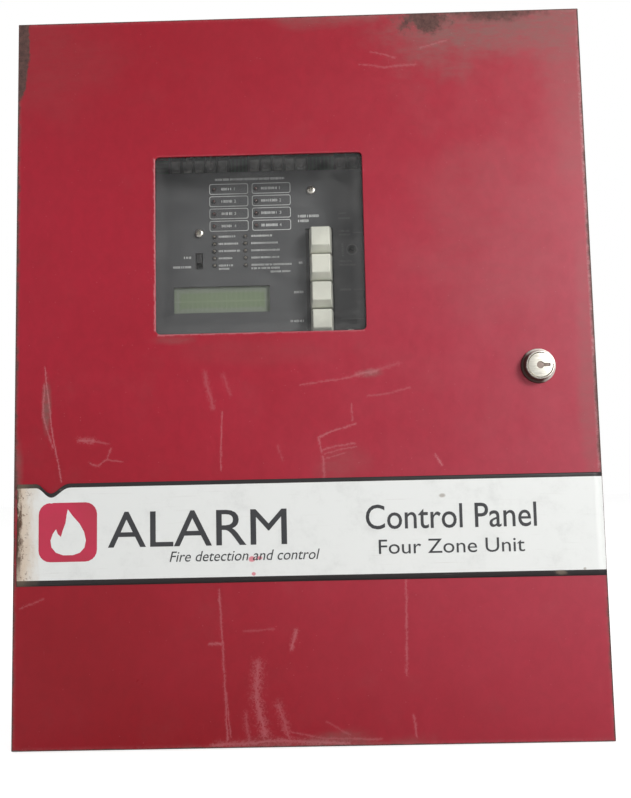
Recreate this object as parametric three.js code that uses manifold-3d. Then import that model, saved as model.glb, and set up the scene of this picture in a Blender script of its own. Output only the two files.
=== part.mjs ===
// Fire alarm control panel: a wall cabinet with a hinged, key-locked door, a window in the door,
// a faceplate with display, keys and lamps behind it, and the boards, transformer and batteries inside.
// Millimetres. +Z is up, +X is to the right, and the front looks along -Y.
// The origin is the centre of the cabinet's back face, which lies on the wall.
import * as THREE from "three";
import { mergeVertices } from "three/addons/utils/BufferGeometryUtils.js";
import Module from "manifold-3d";

const wasm = await Module();
wasm.setup();

// ---------------------------------------------------------------- driving dimensions
const SHEET = 1.5; // sheet steel of cabinet and door
const GAP = 0.3; // least gap between pieces that move or that were cut to each other
const CABINET = { width: 394, height: 500, depth: 100, lip: 12 };
const DOOR = { width: 402, height: 508, gap: 2.5, flange: 16 };
const DOOR_FRONT = -(CABINET.depth + DOOR.gap + SHEET);
const DOOR_BACK = DOOR_FRONT + SHEET;
const WINDOW = { x: -29.5, z: 88.8, width: 146.5, height: 127, corner: 3 };
const LENS = { overlap: 8, thickness: 3 };
const BAND = { x: 1, z: -111, width: 399, height: 69, thickness: 0.3 };
const LOCK = { x: 161, z: -3, head: 12, face: 8.4, barrel: 9.4, shaft: 6, out: 7, cam: 25 };
const HINGE = { x: -200, y: -85.25, knuckle: 2.5, bore: 1.5, pin: 1.2, length: 499, count: 21, leaf: 1.2 };
const MOUNTING = { x: 172, z: 220, screw: 2.75, head: 5 };
const KNOCKOUT = { radius: 11, groove: 0.8, depth: 0.6 };

const FACE = { front: -74, thickness: 1.5, x: [-126, 84], z: [4, 151.4] };
const FACE_BACK = FACE.front + FACE.thickness;
const DISPLAY_BOARD = { front: -60.5, thickness: 1.5, x: [-112, 72], z: [6, 148] };
const MAIN_BOARD = { front: -13.5, thickness: 1.5, x: [-150, 150], z: [-25, 186] };
const POSTS = [[7, 136], [-76.5, 105.3], [34, 28], [-76.5, 14]]; // x, z of the faceplate's screws
const BOARD_CORNERS = [[-143, 179], [143, 179], [143, -18], [-143, -18]];

const LCD = { x: -60.3, z: 55.5, width: 70.8, height: 19.6 };
const KEY = { x: 13.25, top: 95.8, pitch: 20.2, width: 16.5, height: 18.6, out: 13, travel: 2, count: 4 };
const KEY_WELL_BOTTOM = -63.5;
const KEY_SLOT = { x: [2.2, 22.8], z: [24.2, 107.2] };
const SWITCH = { x: -76.7, z: [78.4, 90.4], width: 5.6, lever: 6.5 };
const SOUNDER = { x: 36.3, z: 90.5, radius: 11, hole: 3 };
const LAMP = { radius: 1.4, hole: 1.8, out: 0.9 };
const ZONE_ROWS = [0, 1, 2, 3].map((row) => 138.7 - 9.37 * row);
const STATUS_ROWS = [0, 1, 2, 3, 4].map((row) => 102.6 - 5.45 * row);

const BATTERY = { width: 151, depth: 65, height: 94, lid: 3, x: 80.5, back: -3 };
const CABINET_FLOOR = -CABINET.height / 2 + SHEET;
const BATTERY_TOP = CABINET_FLOOR + BATTERY.height;
const TRANSFORMER = {
  x: -112, z: -84, width: 76, height: 64, stack: 30, leg: 25, yoke: 13, coil: 12, front: -48,
};
const TERMINAL = { pitch: 9.5, height: 16, depth: 10, rib: 3, wall: 1.2 };
const WIRE = 1.6; // outer radius of the insulated leads

// ---------------------------------------------------------------- materials
const finish = (color, roughness, metalness = 0) =>
  new THREE.MeshStandardMaterial({ color, roughness, metalness });
const redPaint = finish(0xa3242f, 0.35);
const whiteLabel = finish(0xdcdfdc, 0.45);
const steel = finish(0x9a9792, 0.35, 1);
const nickel = finish(0xcfcabd, 0.25, 1);
const greyPaint = finish(0x47484a, 0.55);
const greenBoard = finish(0x1f5a35, 0.5);
const blackPlastic = finish(0x17181a, 0.5);
const whiteKey = finish(0xdfe0d4, 0.4);
const lampRed = finish(0x7b1f1c, 0.3);
const clearPlastic = finish(0xd9e2e2, 0.08);
const displayGlass = finish(0x7d8f6b, 0.15);
const laminations = finish(0x55504a, 0.6, 0.8);
const coilTape = finish(0xd6b54a, 0.5);
const batteryCase = finish(0x2a2c30, 0.55);
const aluminium = finish(0xb5b8ba, 0.4, 1);
const insulation = (color) => finish(color, 0.5);

// ---------------------------------------------------------------- making shapes
// A box between two corners, given as a range on each axis.
function block(x, y, z) {
  const box = new THREE.BoxGeometry(x[1] - x[0], y[1] - y[0], z[1] - z[0]);
  return box.translate((x[0] + x[1]) / 2, (y[0] + y[1]) / 2, (z[0] + z[1]) / 2);
}

// A range of a given length around its centre.
const around = (centre, length) => [centre - length / 2, centre + length / 2];

// The point halfway along a range.
const halfway = ([low, high]) => (low + high) / 2;

// Points of a circle in the XZ plane.
function circle(x, z, radius, sides) {
  const turn = (i) => (2 * Math.PI * i) / sides;
  return Array.from({ length: sides }, (_, i) =>
    new THREE.Vector2(x + radius * Math.cos(turn(i)), z + radius * Math.sin(turn(i))));
}

// Points of a rectangle in the XZ plane, with round corners in the given number of steps.
function rectangle(x, z, width, height, radius = 0, steps = 3) {
  const points = [];
  const corners = [[1, 1], [-1, 1], [-1, -1], [1, -1]];
  corners.forEach(([sx, sz], corner) => {
    for (let i = 0; i <= (radius ? steps : 0); i++) {
      const angle = (Math.PI / 2) * (corner + (radius ? i / steps : 0));
      points.push(new THREE.Vector2(
        x + sx * (width / 2 - radius) + radius * Math.cos(angle),
        z + sz * (height / 2 - radius) + radius * Math.sin(angle)));
    }
  });
  return points;
}

// A plate in the XZ plane with its front at y and its back at y + thickness, and holes through it.
function plate(outline, y, thickness, holes = []) {
  const made = new THREE.ExtrudeGeometry(new THREE.Shape(outline), { depth: thickness, bevelEnabled: false })
    .rotateX(Math.PI / 2).translate(0, y + thickness, 0);
  return holes.length ? cut(made, holes.map((points) => plate(points, y - 1, thickness + 2))) : made;
}

// A bar of constant section: the outline is in the YZ plane and runs along X.
function bar(outlineYZ, x) {
  const shape = new THREE.Shape(outlineYZ.map(([y, z]) => new THREE.Vector2(y, z)));
  const made = new THREE.ExtrudeGeometry(shape, { depth: x[1] - x[0], bevelEnabled: false });
  return made.applyMatrix4(new THREE.Matrix4().set(0, 0, 1, x[0], 1, 0, 0, 0, 0, 1, 0, 0, 0, 0, 0, 1));
}

// A body turned around the Y axis, from [radius, y] points that run from the back to the front.
function turned(profile, sides) {
  return new THREE.LatheGeometry(profile.map(([r, y]) => new THREE.Vector2(r, -y)), sides).rotateX(Math.PI);
}

const rodY = (radius, y, sides) =>
  new THREE.CylinderGeometry(radius, radius, y[1] - y[0], sides).translate(0, (y[0] + y[1]) / 2, 0);
const rodZ = (radius, z, sides) =>
  new THREE.CylinderGeometry(radius, radius, z[1] - z[0], sides).rotateX(Math.PI / 2)
    .translate(0, 0, (z[0] + z[1]) / 2);

// A round lead that follows a smooth curve through its points.
function lead(points, radius, steps) {
  const knots = points.map((p) => new THREE.Vector3(...p));
  const path = new THREE.CatmullRomCurve3(knots, false, "centripetal");
  const section = new THREE.Shape(circle(0, 0, radius, 8));
  return new THREE.ExtrudeGeometry(section, { extrudePath: path, steps, bevelEnabled: false });
}

// ---------------------------------------------------------------- cutting and joining
function solid(geometry) {
  const bare = geometry.index ? geometry.toNonIndexed() : geometry.clone();
  bare.deleteAttribute("normal");
  bare.deleteAttribute("uv");
  const merged = mergeVertices(bare, 1e-4);
  return new wasm.Manifold(new wasm.Mesh({
    numProp: 3,
    vertProperties: merged.attributes.position.array,
    triVerts: new Uint32Array(merged.index.array),
  }));
}

function geometryOf(made) {
  const mesh = made.getMesh();
  return new THREE.BufferGeometry()
    .setAttribute("position", new THREE.BufferAttribute(new Float32Array(mesh.vertProperties), 3))
    .setIndex(new THREE.BufferAttribute(new Uint32Array(mesh.triVerts), 1));
}

const cut = (base, tools) =>
  geometryOf(tools.reduce((made, tool) => made.subtract(solid(tool)), solid(base)));
const join = (pieces) =>
  geometryOf(pieces.slice(1).reduce((made, piece) => made.add(solid(piece)), solid(pieces[0])));

// ---------------------------------------------------------------- assembly
const panel = new THREE.Group();

function add(parent, name, geometry, material, x = 0, y = 0, z = 0) {
  const mesh = new THREE.Mesh(geometry, material);
  mesh.name = name;
  mesh.position.set(x, y, z);
  parent.add(mesh);
  return mesh;
}

// ---------------------------------------------------------------- cabinet
// A folded tray, open to the front, with a lip turned inwards round its mouth.
function cabinetBody() {
  const { width, height, depth, lip } = CABINET;
  const shell = block(around(0, width), [-depth, 0], around(0, height));
  const inside = block(around(0, width - 2 * SHEET), [SHEET - depth, -SHEET], around(0, height - 2 * SHEET));
  const mouthWidth = width - 2 * (SHEET + lip);
  const mouthHeight = height - 2 * (SHEET + lip);
  const mouth = block(around(0, mouthWidth), [-depth - 1, 2 * SHEET - depth], around(0, mouthHeight));
  return cut(shell, [inside, mouth, ...mountingHoles(), ...knockoutGrooves()]);
}

// Two keyholes above, which hang on screws, and two plain holes below.
function mountingHoles() {
  const through = [-2 * SHEET, SHEET];
  const holes = [];
  for (const side of [-1, 1]) {
    const x = side * MOUNTING.x;
    holes.push(rodY(MOUNTING.head, through, 16).translate(x, 0, MOUNTING.z));
    holes.push(block(around(x, 2 * MOUNTING.screw), through, [MOUNTING.z, MOUNTING.z + 11]));
    holes.push(rodY(MOUNTING.screw + 0.5, through, 16).translate(x, 0, -MOUNTING.z));
  }
  return holes;
}

// Round grooves that leave each knockout held by the thin sheet below them.
function knockoutGrooves() {
  const { radius, groove, depth } = KNOCKOUT;
  const core = rodZ(radius - groove / 2, [-depth - 1, 2], 20);
  const ring = cut(rodZ(radius + groove / 2, [-depth, 1], 20), [core]);
  const middle = -CABINET.depth / 2;
  const grooves = [-130, -45, 45, 130].map((x) => ring.clone().translate(x, middle, CABINET.height / 2));
  for (const side of [-1, 1]) {
    const turnedRing = ring.clone().rotateY((side * Math.PI) / 2);
    grooves.push(turnedRing.clone().translate((side * CABINET.width) / 2, middle, 170));
    grooves.push(turnedRing.clone().translate((side * CABINET.width) / 2, middle, -90));
  }
  return grooves;
}

// ---------------------------------------------------------------- hinge
// One leaf of the continuous hinge. Its knuckles alternate with those of the other leaf, and it is cut
// back wherever the other leaf's knuckles turn.
function hingeLeaf(x, yFar, firstKnuckle) {
  const { knuckle, bore, length, count, leaf, y: axis } = HINGE;
  const pitch = length / count;
  const direction = Math.sign(yFar - axis);
  const clear = axis + direction * (knuckle + 0.4);
  const ordered = (a, b) => (a < b ? [a, b] : [b, a]);
  const pieces = [block([x, x + leaf], ordered(clear, yFar), around(0, length))];
  for (let i = firstKnuckle; i < count; i += 2) {
    const low = -length / 2 + i * pitch + GAP / 2;
    const span = [low, low + pitch - GAP];
    pieces.push(block([x, x + leaf], ordered(axis, clear + direction * 0.5), span));
    pieces.push(rodZ(knuckle, span, 12).translate(HINGE.x, axis, 0));
  }
  return cut(join(pieces), [rodZ(bore, [-length, length], 8).translate(HINGE.x, axis, 0)]);
}

// ---------------------------------------------------------------- door
function doorPanel() {
  const { width, height, flange } = DOOR;
  const shell = block(around(0, width), [DOOR_FRONT, DOOR_FRONT + flange], around(0, height));
  const inside = block(around(0, width - 2 * SHEET), [DOOR_BACK, 0], around(0, height - 2 * SHEET));
  const opening = rectangle(WINDOW.x, WINDOW.z, WINDOW.width, WINDOW.height, WINDOW.corner, 4);
  const lockHole = circle(LOCK.x, LOCK.z, LOCK.barrel + 0.4, 24);
  return cut(shell, [inside, plate(opening, DOOR_FRONT - 1, 5), plate(lockHole, DOOR_FRONT - 1, 5)]);
}

function windowLens() {
  const { overlap, thickness } = LENS;
  const width = WINDOW.width + 2 * overlap;
  const outline = rectangle(WINDOW.x, WINDOW.z, width, WINDOW.height + 2 * overlap, 4);
  return plate(outline, DOOR_BACK, thickness);
}

// A pressed frame that holds the lens against the back of the door.
function windowRetainer() {
  const { overlap, thickness } = LENS;
  const size = (margin) => [WINDOW.width + 2 * margin, WINDOW.height + 2 * margin];
  const frame = plate(rectangle(WINDOW.x, WINDOW.z, ...size(overlap + 6)), DOOR_BACK, thickness + 1.2);
  const pocket = plate(rectangle(WINDOW.x, WINDOW.z, ...size(overlap + 0.5)), DOOR_BACK - 1, thickness + 1);
  const sight = plate(rectangle(WINDOW.x, WINDOW.z, ...size(2)), DOOR_BACK - 1, thickness + 4);
  return cut(frame, [pocket, sight]);
}

// ---------------------------------------------------------------- cam lock, around the Y axis
const LOCK_REAR = -97;
const LOCK_FRONT = DOOR_FRONT - LOCK.out;

function lockBarrel() {
  const { head, face, barrel, shaft } = LOCK;
  const bore = shaft + GAP;
  return turned([
    [bore, LOCK_REAR], [barrel, LOCK_REAR], [barrel, DOOR_FRONT], [head, DOOR_FRONT],
    [head, DOOR_FRONT - 1.2],
    [head - 1, DOOR_FRONT - 2], [head - 1.8, LOCK_FRONT + 0.6], [head - 2.4, LOCK_FRONT],
    [face + GAP, LOCK_FRONT], [face + GAP, LOCK_FRONT + 4], [bore, LOCK_FRONT + 4], [bore, LOCK_REAR],
  ], 28);
}

function lockNut() {
  const ring = rodY(13.8, [DOOR_BACK, DOOR_BACK + 3.4], 6);
  return cut(ring, [rodY(LOCK.barrel + GAP, [DOOR_BACK - 1, DOOR_BACK + 5], 24)]);
}

// The part that the key turns, with its keyway at the front and a square for the cam behind.
function lockPlug() {
  const { face, shaft } = LOCK;
  const front = LOCK_FRONT + 0.3;
  const body = turned([[0, LOCK_REAR], [shaft, LOCK_REAR], [shaft, LOCK_FRONT + 3.7],
    [face, LOCK_FRONT + 3.7], [face, front], [0, front]], 28);
  const square = block(around(0, 6), [LOCK_REAR - 1, LOCK_REAR + 2.4], around(0, 6));
  const reach = [front - 1, front + 4];
  const keyway = [rodY(2.5, reach, 14), block([0, 6.6], reach, around(0, 2.2))];
  return cut(join([body, square]), keyway);
}

// The cam hangs down when the door is unlocked.
function lockCam() {
  const outline = [];
  for (let i = 0; i <= 8; i++) {
    const angle = (Math.PI * i) / 8;
    outline.push(new THREE.Vector2(8 * Math.cos(angle), 8 * Math.sin(angle)));
  }
  for (let i = 0; i <= 6; i++) {
    const angle = Math.PI + (Math.PI * i) / 6;
    outline.push(new THREE.Vector2(6.5 * Math.cos(angle), -LOCK.cam + 6.5 * Math.sin(angle)));
  }
  return plate(outline, LOCK_REAR + GAP, 2, [rectangle(0, 0, 6.6, 6.6)]);
}

// The screw that holds the cam, with its head towards the inside of the cabinet.
function lockCamScrew() {
  const seat = LOCK_REAR + 2.4 + GAP;
  return turned([[0, seat + 2.2], [2.8, seat + 2], [4.3, seat + 1.2], [4.6, seat], [0, seat]], 12);
}

// ---------------------------------------------------------------- faceplate and its boards
function faceplate() {
  const [width, height] = [FACE.x[1] - FACE.x[0], FACE.z[1] - FACE.z[0]];
  const middle = [(FACE.x[0] + FACE.x[1]) / 2, (FACE.z[0] + FACE.z[1]) / 2];
  const lampHoles = [
    ...[...ZONE_ROWS, ...STATUS_ROWS].map((z) => circle(-65.3, z, LAMP.hole, 8)),
    ...ZONE_ROWS.map((z) => circle(-33.9, z, LAMP.hole, 8)),
    ...STATUS_ROWS.map((z) => circle(-42.3, z, LAMP.hole, 8)),
  ];
  const slotWidth = KEY_SLOT.x[1] - KEY_SLOT.x[0];
  const slotHeight = KEY_SLOT.z[1] - KEY_SLOT.z[0];
  const slot = rectangle(halfway(KEY_SLOT.x), halfway(KEY_SLOT.z), slotWidth, slotHeight);
  const switchSlot = rectangle(SWITCH.x, halfway(SWITCH.z), SWITCH.width, SWITCH.z[1] - SWITCH.z[0]);
  return plate(rectangle(...middle, width, height, 2, 2), FACE.front, FACE.thickness, [
    ...lampHoles, slot, switchSlot,
    rectangle(LCD.x, LCD.z, LCD.width, LCD.height),
    circle(SOUNDER.x, SOUNDER.z, SOUNDER.hole, 12),
    ...POSTS.map(([x, z]) => circle(x, z, 2.2, 10)),
  ]);
}

function board({ front, thickness, x, z }, holes) {
  const outline = rectangle((x[0] + x[1]) / 2, (z[0] + z[1]) / 2, x[1] - x[0], z[1] - z[0]);
  return plate(outline, front, thickness, holes.map(([hx, hz]) => circle(hx, hz, 2.1, 10)));
}

// A screw's head and the part of its shank inside the faceplate.
function faceplateScrew() {
  return turned([[0, FACE_BACK - GAP], [1.6, FACE_BACK - GAP], [1.6, FACE.front], [3.3, FACE.front],
    [3.2, FACE.front - 0.9], [2.2, FACE.front - 1.8], [0, FACE.front - 2.1]], 12);
}

// Two hexagonal posts screwed end to end through the display board.
function faceplatePost() {
  const boardBack = DISPLAY_BOARD.front + DISPLAY_BOARD.thickness;
  return turned([
    [0, MAIN_BOARD.front], [3.6, MAIN_BOARD.front], [3.6, boardBack + GAP], [1.7, boardBack + GAP],
    [1.7, DISPLAY_BOARD.front - GAP], [3.6, DISPLAY_BOARD.front - GAP], [3.6, FACE_BACK], [0, FACE_BACK],
  ], 6);
}

// A post under the main board with the screw that clamps the board to it.
function boardStandoff() {
  const boardBack = MAIN_BOARD.front + MAIN_BOARD.thickness;
  const { front } = MAIN_BOARD;
  return turned([[0, -SHEET], [3.6, -SHEET], [3.6, boardBack + GAP], [1.7, boardBack + GAP],
    [1.7, front - GAP], [3.4, front - GAP], [3.2, front - 1.4], [2.2, front - 2.2], [0, front - 2.4]], 6);
}

// The display's frame, which carries the glass in a pocket behind its opening.
function lcdBezel() {
  const back = -65;
  const frame = block(around(LCD.x, 80), [FACE_BACK, back], around(LCD.z, 28));
  const [pocketDepth, sightDepth] = [[FACE_BACK + 1, back + 1], [FACE_BACK - 1, back]];
  const pocket = block(around(LCD.x, LCD.width + 3), pocketDepth, around(LCD.z, LCD.height + 3));
  const sight = block(around(LCD.x, LCD.width + 1), sightDepth, around(LCD.z, LCD.height + 1));
  return cut(frame, [pocket, sight]);
}

// The housing of the four key switches: a dark block with one well for each key.
function keySwitchBlock() {
  const { x, top, pitch, count, height } = KEY;
  const bottom = top - pitch * (count - 1);
  const depth = [FACE_BACK - 1, KEY_WELL_BOTTOM];
  const wells = Array.from({ length: count }, (_, i) =>
    block(around(x, KEY.width + 1.4), depth, around(top - pitch * i, height + 1)));
  const housing = block(around(x, KEY.width + 6), [FACE_BACK, DISPLAY_BOARD.front], [bottom - 11, top + 11]);
  return cut(housing, wells);
}

// A key: a flat face over a step that slopes back towards its lower edge, narrowing towards the front.
function keyCap() {
  const half = KEY.height / 2;
  const front = FACE.front - KEY.out;
  const rear = KEY_WELL_BOTTOM - KEY.travel - 1;
  const section = [[rear, -half], [rear, half], [front + 4, half], [front, half - 0.6], [front, -half + 4.6],
    [front + 5.5, -half]];
  const bevel = 1.1;
  const straight = bar(section, around(0, KEY.width));
  const taper = (side) => {
    const corners = [[0, -1], [bevel * 1.6, -1], [0, 9]];
    const wedge = new THREE.Shape(corners.map(([x, y]) => new THREE.Vector2(x * side, y)));
    const made = new THREE.ExtrudeGeometry(wedge, { depth: 2 * KEY.height, bevelEnabled: false });
    return made.translate((-side * KEY.width) / 2, front, -KEY.height);
  };
  return cut(straight, [taper(1), taper(-1)]);
}

function ledBlock(x, rows) {
  const base = block(around(x, 5), [-70, DISPLAY_BOARD.front], [rows[rows.length - 1] - 2.6, rows[0] + 2.6]);
  const domes = rows.map((z) => rodY(LAMP.radius, [FACE.front - LAMP.out, -69], 8).translate(x, 0, z));
  return join([base, ...domes]);
}

const SWITCH_WELL = { width: 4.4, bottom: -66, z: [78.7, 90.1] };

function programSwitchBody() {
  const body = block(around(SWITCH.x, 8), [FACE_BACK, DISPLAY_BOARD.front], [75.5, 93.3]);
  const depth = [FACE_BACK - 1, SWITCH_WELL.bottom];
  return cut(body, [block(around(SWITCH.x, SWITCH_WELL.width), depth, SWITCH_WELL.z)]);
}

function programSwitchLever() {
  const high = SWITCH_WELL.z[1] - GAP;
  const depth = [FACE.front + 0.4, SWITCH_WELL.bottom - 0.5];
  return block(around(SWITCH.x, 3.6), depth, [high - SWITCH.lever, high]);
}

function piezoSounder() {
  const front = DISPLAY_BOARD.front - 9;
  return cut(rodY(SOUNDER.radius, [front, DISPLAY_BOARD.front], 20), [rodY(1.6, [front - 1, front + 3], 8)]);
}

// ---------------------------------------------------------------- on the main board
// A barrier terminal strip: a low base, and a rib at each side of every screw.
function terminalStrip(poles) {
  const { pitch, height, depth, rib, wall } = TERMINAL;
  const width = poles * pitch;
  const ribs = Array.from({ length: poles + 1 }, (_, i) => {
    const x = -width / 2 + i * pitch;
    return block([x - wall / 2, x + wall / 2], [-depth - rib, 0], around(0, height));
  });
  return join([block(around(0, width), [-depth + 2, 0], around(0, height)), ...ribs]);
}

// An extruded heat sink: fins that stand forward from a base plate against the board.
function heatSink() {
  const fins = 7;
  const [width, base, thickness, reach] = [44, 4, 1.8, 26];
  const pieces = [block(around(0, width), [-base, 0], around(0, 50))];
  for (let i = 0; i < fins; i++) {
    const x = -width / 2 + thickness / 2 + (i * (width - thickness)) / (fins - 1);
    pieces.push(block(around(x, thickness), [-reach, -base + 1], around(0, 50)));
  }
  return join(pieces);
}

// Two cartridge fuses in their clips on a common base.
function fuseBlock() {
  const pieces = [block(around(0, 26), [-4, 0], around(0, 40))];
  for (const x of [-6.5, 6.5]) {
    pieces.push(rodZ(3.1, [-16, 16], 10).translate(x, -9, 0));
    for (const z of [-12, 12]) pieces.push(block(around(x, 7.4), [-9, -3], around(z, 5)));
  }
  return join(pieces);
}

// ---------------------------------------------------------------- power
// Stacked laminations with two windows, and feet that reach back to the cabinet.
function transformerCore() {
  const { width, height, stack, leg, yoke, front } = TRANSFORMER;
  const windowWidth = (width - leg - 2 * yoke) / 2;
  const windows = [-1, 1].map((side) =>
    rectangle((side * (leg + windowWidth)) / 2, 0, windowWidth, height - 2 * yoke));
  const feet = [-1, 1].map((side) => block(
    around((side * (width + 2.4)) / 2, 2.6), [front + 4, -SHEET], around(0, 40)));
  const flanges = [-1, 1].map((side) => block(
    around((side * (width + 16)) / 2, 16), [-3.5, -SHEET], around(0, 40)));
  return join([plate(rectangle(0, 0, width, height), front, stack, windows), ...feet, ...flanges]);
}

// The winding, a tube round the middle leg.
function transformerCoil() {
  const { height, stack, leg, yoke, coil, front } = TRANSFORMER;
  const tall = around(0, height - 2 * yoke - 1);
  const outer = block(around(0, leg + 2 * coil - 1), [front - coil, front + stack + coil], tall);
  const inner = block(around(0, leg + 1), [front - 0.5, front + stack + 0.5], around(0, height));
  return cut(outer, [inner]);
}

// A sealed battery standing on the cabinet's floor, with a lid and two blade terminals.
function battery() {
  const { width, depth, height, lid, back } = BATTERY;
  const y = [back - depth, back];
  const top = BATTERY_TOP;
  const pieces = [
    block(around(0, width), y, [CABINET_FLOOR, top - lid]),
    block(around(0, width - 3), [y[0] + 1.5, y[1] - 1.5], [top - lid - 1, top]),
  ];
  for (const side of [-1, 1]) {
    pieces.push(block(around(side * 64, 6.3), around(back - depth / 2, 1), [top - 1, top + 7]));
  }
  return join(pieces);
}

// The flat cable that folds down from the display board's back to the main board.
function ribbonCable() {
  const from = DISPLAY_BOARD.front + DISPLAY_BOARD.thickness + GAP;
  const to = MAIN_BOARD.front - GAP;
  const radius = (to - from) / 2;
  const arc = (r, i) => {
    const angle = (Math.PI * i) / 16;
    return [(from + to) / 2 - r * Math.cos(angle), 8 - r * Math.sin(angle) * 0.7];
  };
  const steps = Array.from({ length: 17 }, (_, i) => i);
  const outer = steps.map((i) => arc(radius, i));
  const inner = steps.map((i) => arc(radius - 1, 16 - i));
  return bar([[from, 20], ...outer, [to, 20], [to - 1, 20], ...inner, [from + 1, 20]], [44, 70]);
}

// ---------------------------------------------------------------- put together
add(panel, "cabinet_body", cabinetBody(), redPaint);
add(panel, "hinge_leaf_cabinet", hingeLeaf(-CABINET.width / 2 - HINGE.leaf, HINGE.y + 25, 0), steel);
add(panel, "hinge_pin", rodZ(HINGE.pin, around(0, HINGE.length), 12), steel, HINGE.x, HINGE.y, 0);

const door = new THREE.Group();
panel.add(door);
const flangeInside = -DOOR.width / 2 + SHEET;
add(door, "door_panel", doorPanel(), redPaint);
add(door, "hinge_leaf_door", hingeLeaf(flangeInside, DOOR_BACK + 1.5, 1), steel);
const bandOutline = rectangle(BAND.x, BAND.z, BAND.width, BAND.height);
add(door, "label_band", plate(bandOutline, DOOR_FRONT - BAND.thickness, BAND.thickness), whiteLabel);
add(door, "window_lens", windowLens(), clearPlastic);
add(door, "window_retainer", windowRetainer(), steel);

const lock = new THREE.Group();
lock.position.set(LOCK.x, 0, LOCK.z);
door.add(lock);
add(lock, "lock_barrel", lockBarrel(), nickel);
add(lock, "lock_nut", lockNut(), steel);
add(lock, "lock_plug", lockPlug(), nickel);
add(lock, "lock_cam", lockCam(), steel);
add(lock, "lock_cam_screw", lockCamScrew(), steel);

const display = new THREE.Group();
panel.add(display);
add(display, "faceplate", faceplate(), greyPaint);
POSTS.forEach(([x, z], i) => {
  add(display, `faceplate_screw_${i + 1}`, faceplateScrew(), nickel, x, 0, z);
  add(display, `faceplate_post_${i + 1}`, faceplatePost(), nickel, x, 0, z);
});
add(display, "display_board", board(DISPLAY_BOARD, POSTS), greenBoard);
add(display, "lcd_bezel", lcdBezel(), blackPlastic);
add(display, "lcd_glass", block(
  around(LCD.x, LCD.width + 2.2), [-71, -68.5], around(LCD.z, LCD.height + 2.2)), displayGlass);
add(display, "lcd_board", block(around(LCD.x, 90), [-65, -63.4], around(LCD.z, 38)), greenBoard);
add(display, "key_switch_block", keySwitchBlock(), blackPlastic);
for (let i = 0; i < KEY.count; i++) {
  add(display, `key_${i + 1}`, keyCap(), whiteKey, KEY.x, 0, KEY.top - KEY.pitch * i);
}
add(display, "led_block_left", ledBlock(-65.3, [...ZONE_ROWS, ...STATUS_ROWS]), lampRed);
add(display, "led_block_outputs", ledBlock(-33.9, ZONE_ROWS), lampRed);
add(display, "led_block_status", ledBlock(-42.3, STATUS_ROWS), lampRed);
add(display, "program_switch_body", programSwitchBody(), blackPlastic);
add(display, "program_switch_lever", programSwitchLever(), blackPlastic);
add(display, "piezo_sounder", piezoSounder(), blackPlastic, SOUNDER.x, 0, SOUNDER.z);

const electronics = new THREE.Group();
panel.add(electronics);
add(electronics, "main_board", board(MAIN_BOARD, BOARD_CORNERS), greenBoard);
BOARD_CORNERS.forEach(([x, z], i) => {
  add(electronics, `board_standoff_${i + 1}`, boardStandoff(), nickel, x, 0, z);
});
const onBoard = MAIN_BOARD.front;
add(electronics, "terminal_strip_upper_left", terminalStrip(5), blackPlastic, -84, onBoard, 176.5);
add(electronics, "terminal_strip_upper_middle", terminalStrip(5), blackPlastic, -20.3, onBoard, 176.5);
add(electronics, "terminal_strip_upper_right", terminalStrip(8), blackPlastic, 64, onBoard, 176.5);
add(electronics, "terminal_strip_lower", terminalStrip(8), blackPlastic, -10, onBoard, -14);
const relay = block(around(0, 19), [-16, 0], around(0, 28));
add(electronics, "relay", relay, blackPlastic, 110, onBoard, 138);
add(electronics, "heat_sink", heatSink(), aluminium, 117, onBoard, 84);
add(electronics, "filter_capacitor", rodY(12.5, [-36, 0], 20), blackPlastic, 118, onBoard, 32);
add(electronics, "fuse_block", fuseBlock(), blackPlastic, -133, onBoard, 20);
add(electronics, "ribbon_cable", ribbonCable(), insulation(0x8b8f94));

const power = new THREE.Group();
panel.add(power);
add(power, "transformer_core", transformerCore(), laminations, TRANSFORMER.x, 0, TRANSFORMER.z);
add(power, "transformer_coil", transformerCoil(), coilTape, TRANSFORMER.x, 0, TRANSFORMER.z);
add(power, "battery_left", battery(), batteryCase, -BATTERY.x, 0, 0);
add(power, "battery_right", battery(), batteryCase, BATTERY.x, 0, 0);

// Leads start just clear of the terminal they serve and end at the screws of a terminal strip.
const blade = BATTERY.back - BATTERY.depth / 2;
const bladeTop = BATTERY_TOP + 7 + GAP;
const clampScrews = MAIN_BOARD.front - TERMINAL.depth + 2 - GAP - WIRE;
add(power, "battery_link", lead([
  [64 - BATTERY.x, blade, bladeTop], [64 - BATTERY.x, blade, bladeTop + 5], [-9, blade, bladeTop + 13],
  [0, blade - 2, bladeTop + 15], [9, blade, bladeTop + 13], [BATTERY.x - 64, blade, bladeTop + 5],
  [BATTERY.x - 64, blade, bladeTop],
], WIRE, 12), insulation(0x2b4f9a));
add(power, "battery_lead_red", lead([
  [BATTERY.x + 64, blade, bladeTop], [BATTERY.x + 63, blade, bladeTop + 14], [118, blade - 6, -112],
  [62, -52, -84], [24, -44, -52], [13.75, -33, -34], [13.75, clampScrews, -24.5], [13.75, clampScrews, -16],
], WIRE, 24), insulation(0xb02a22));
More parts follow.
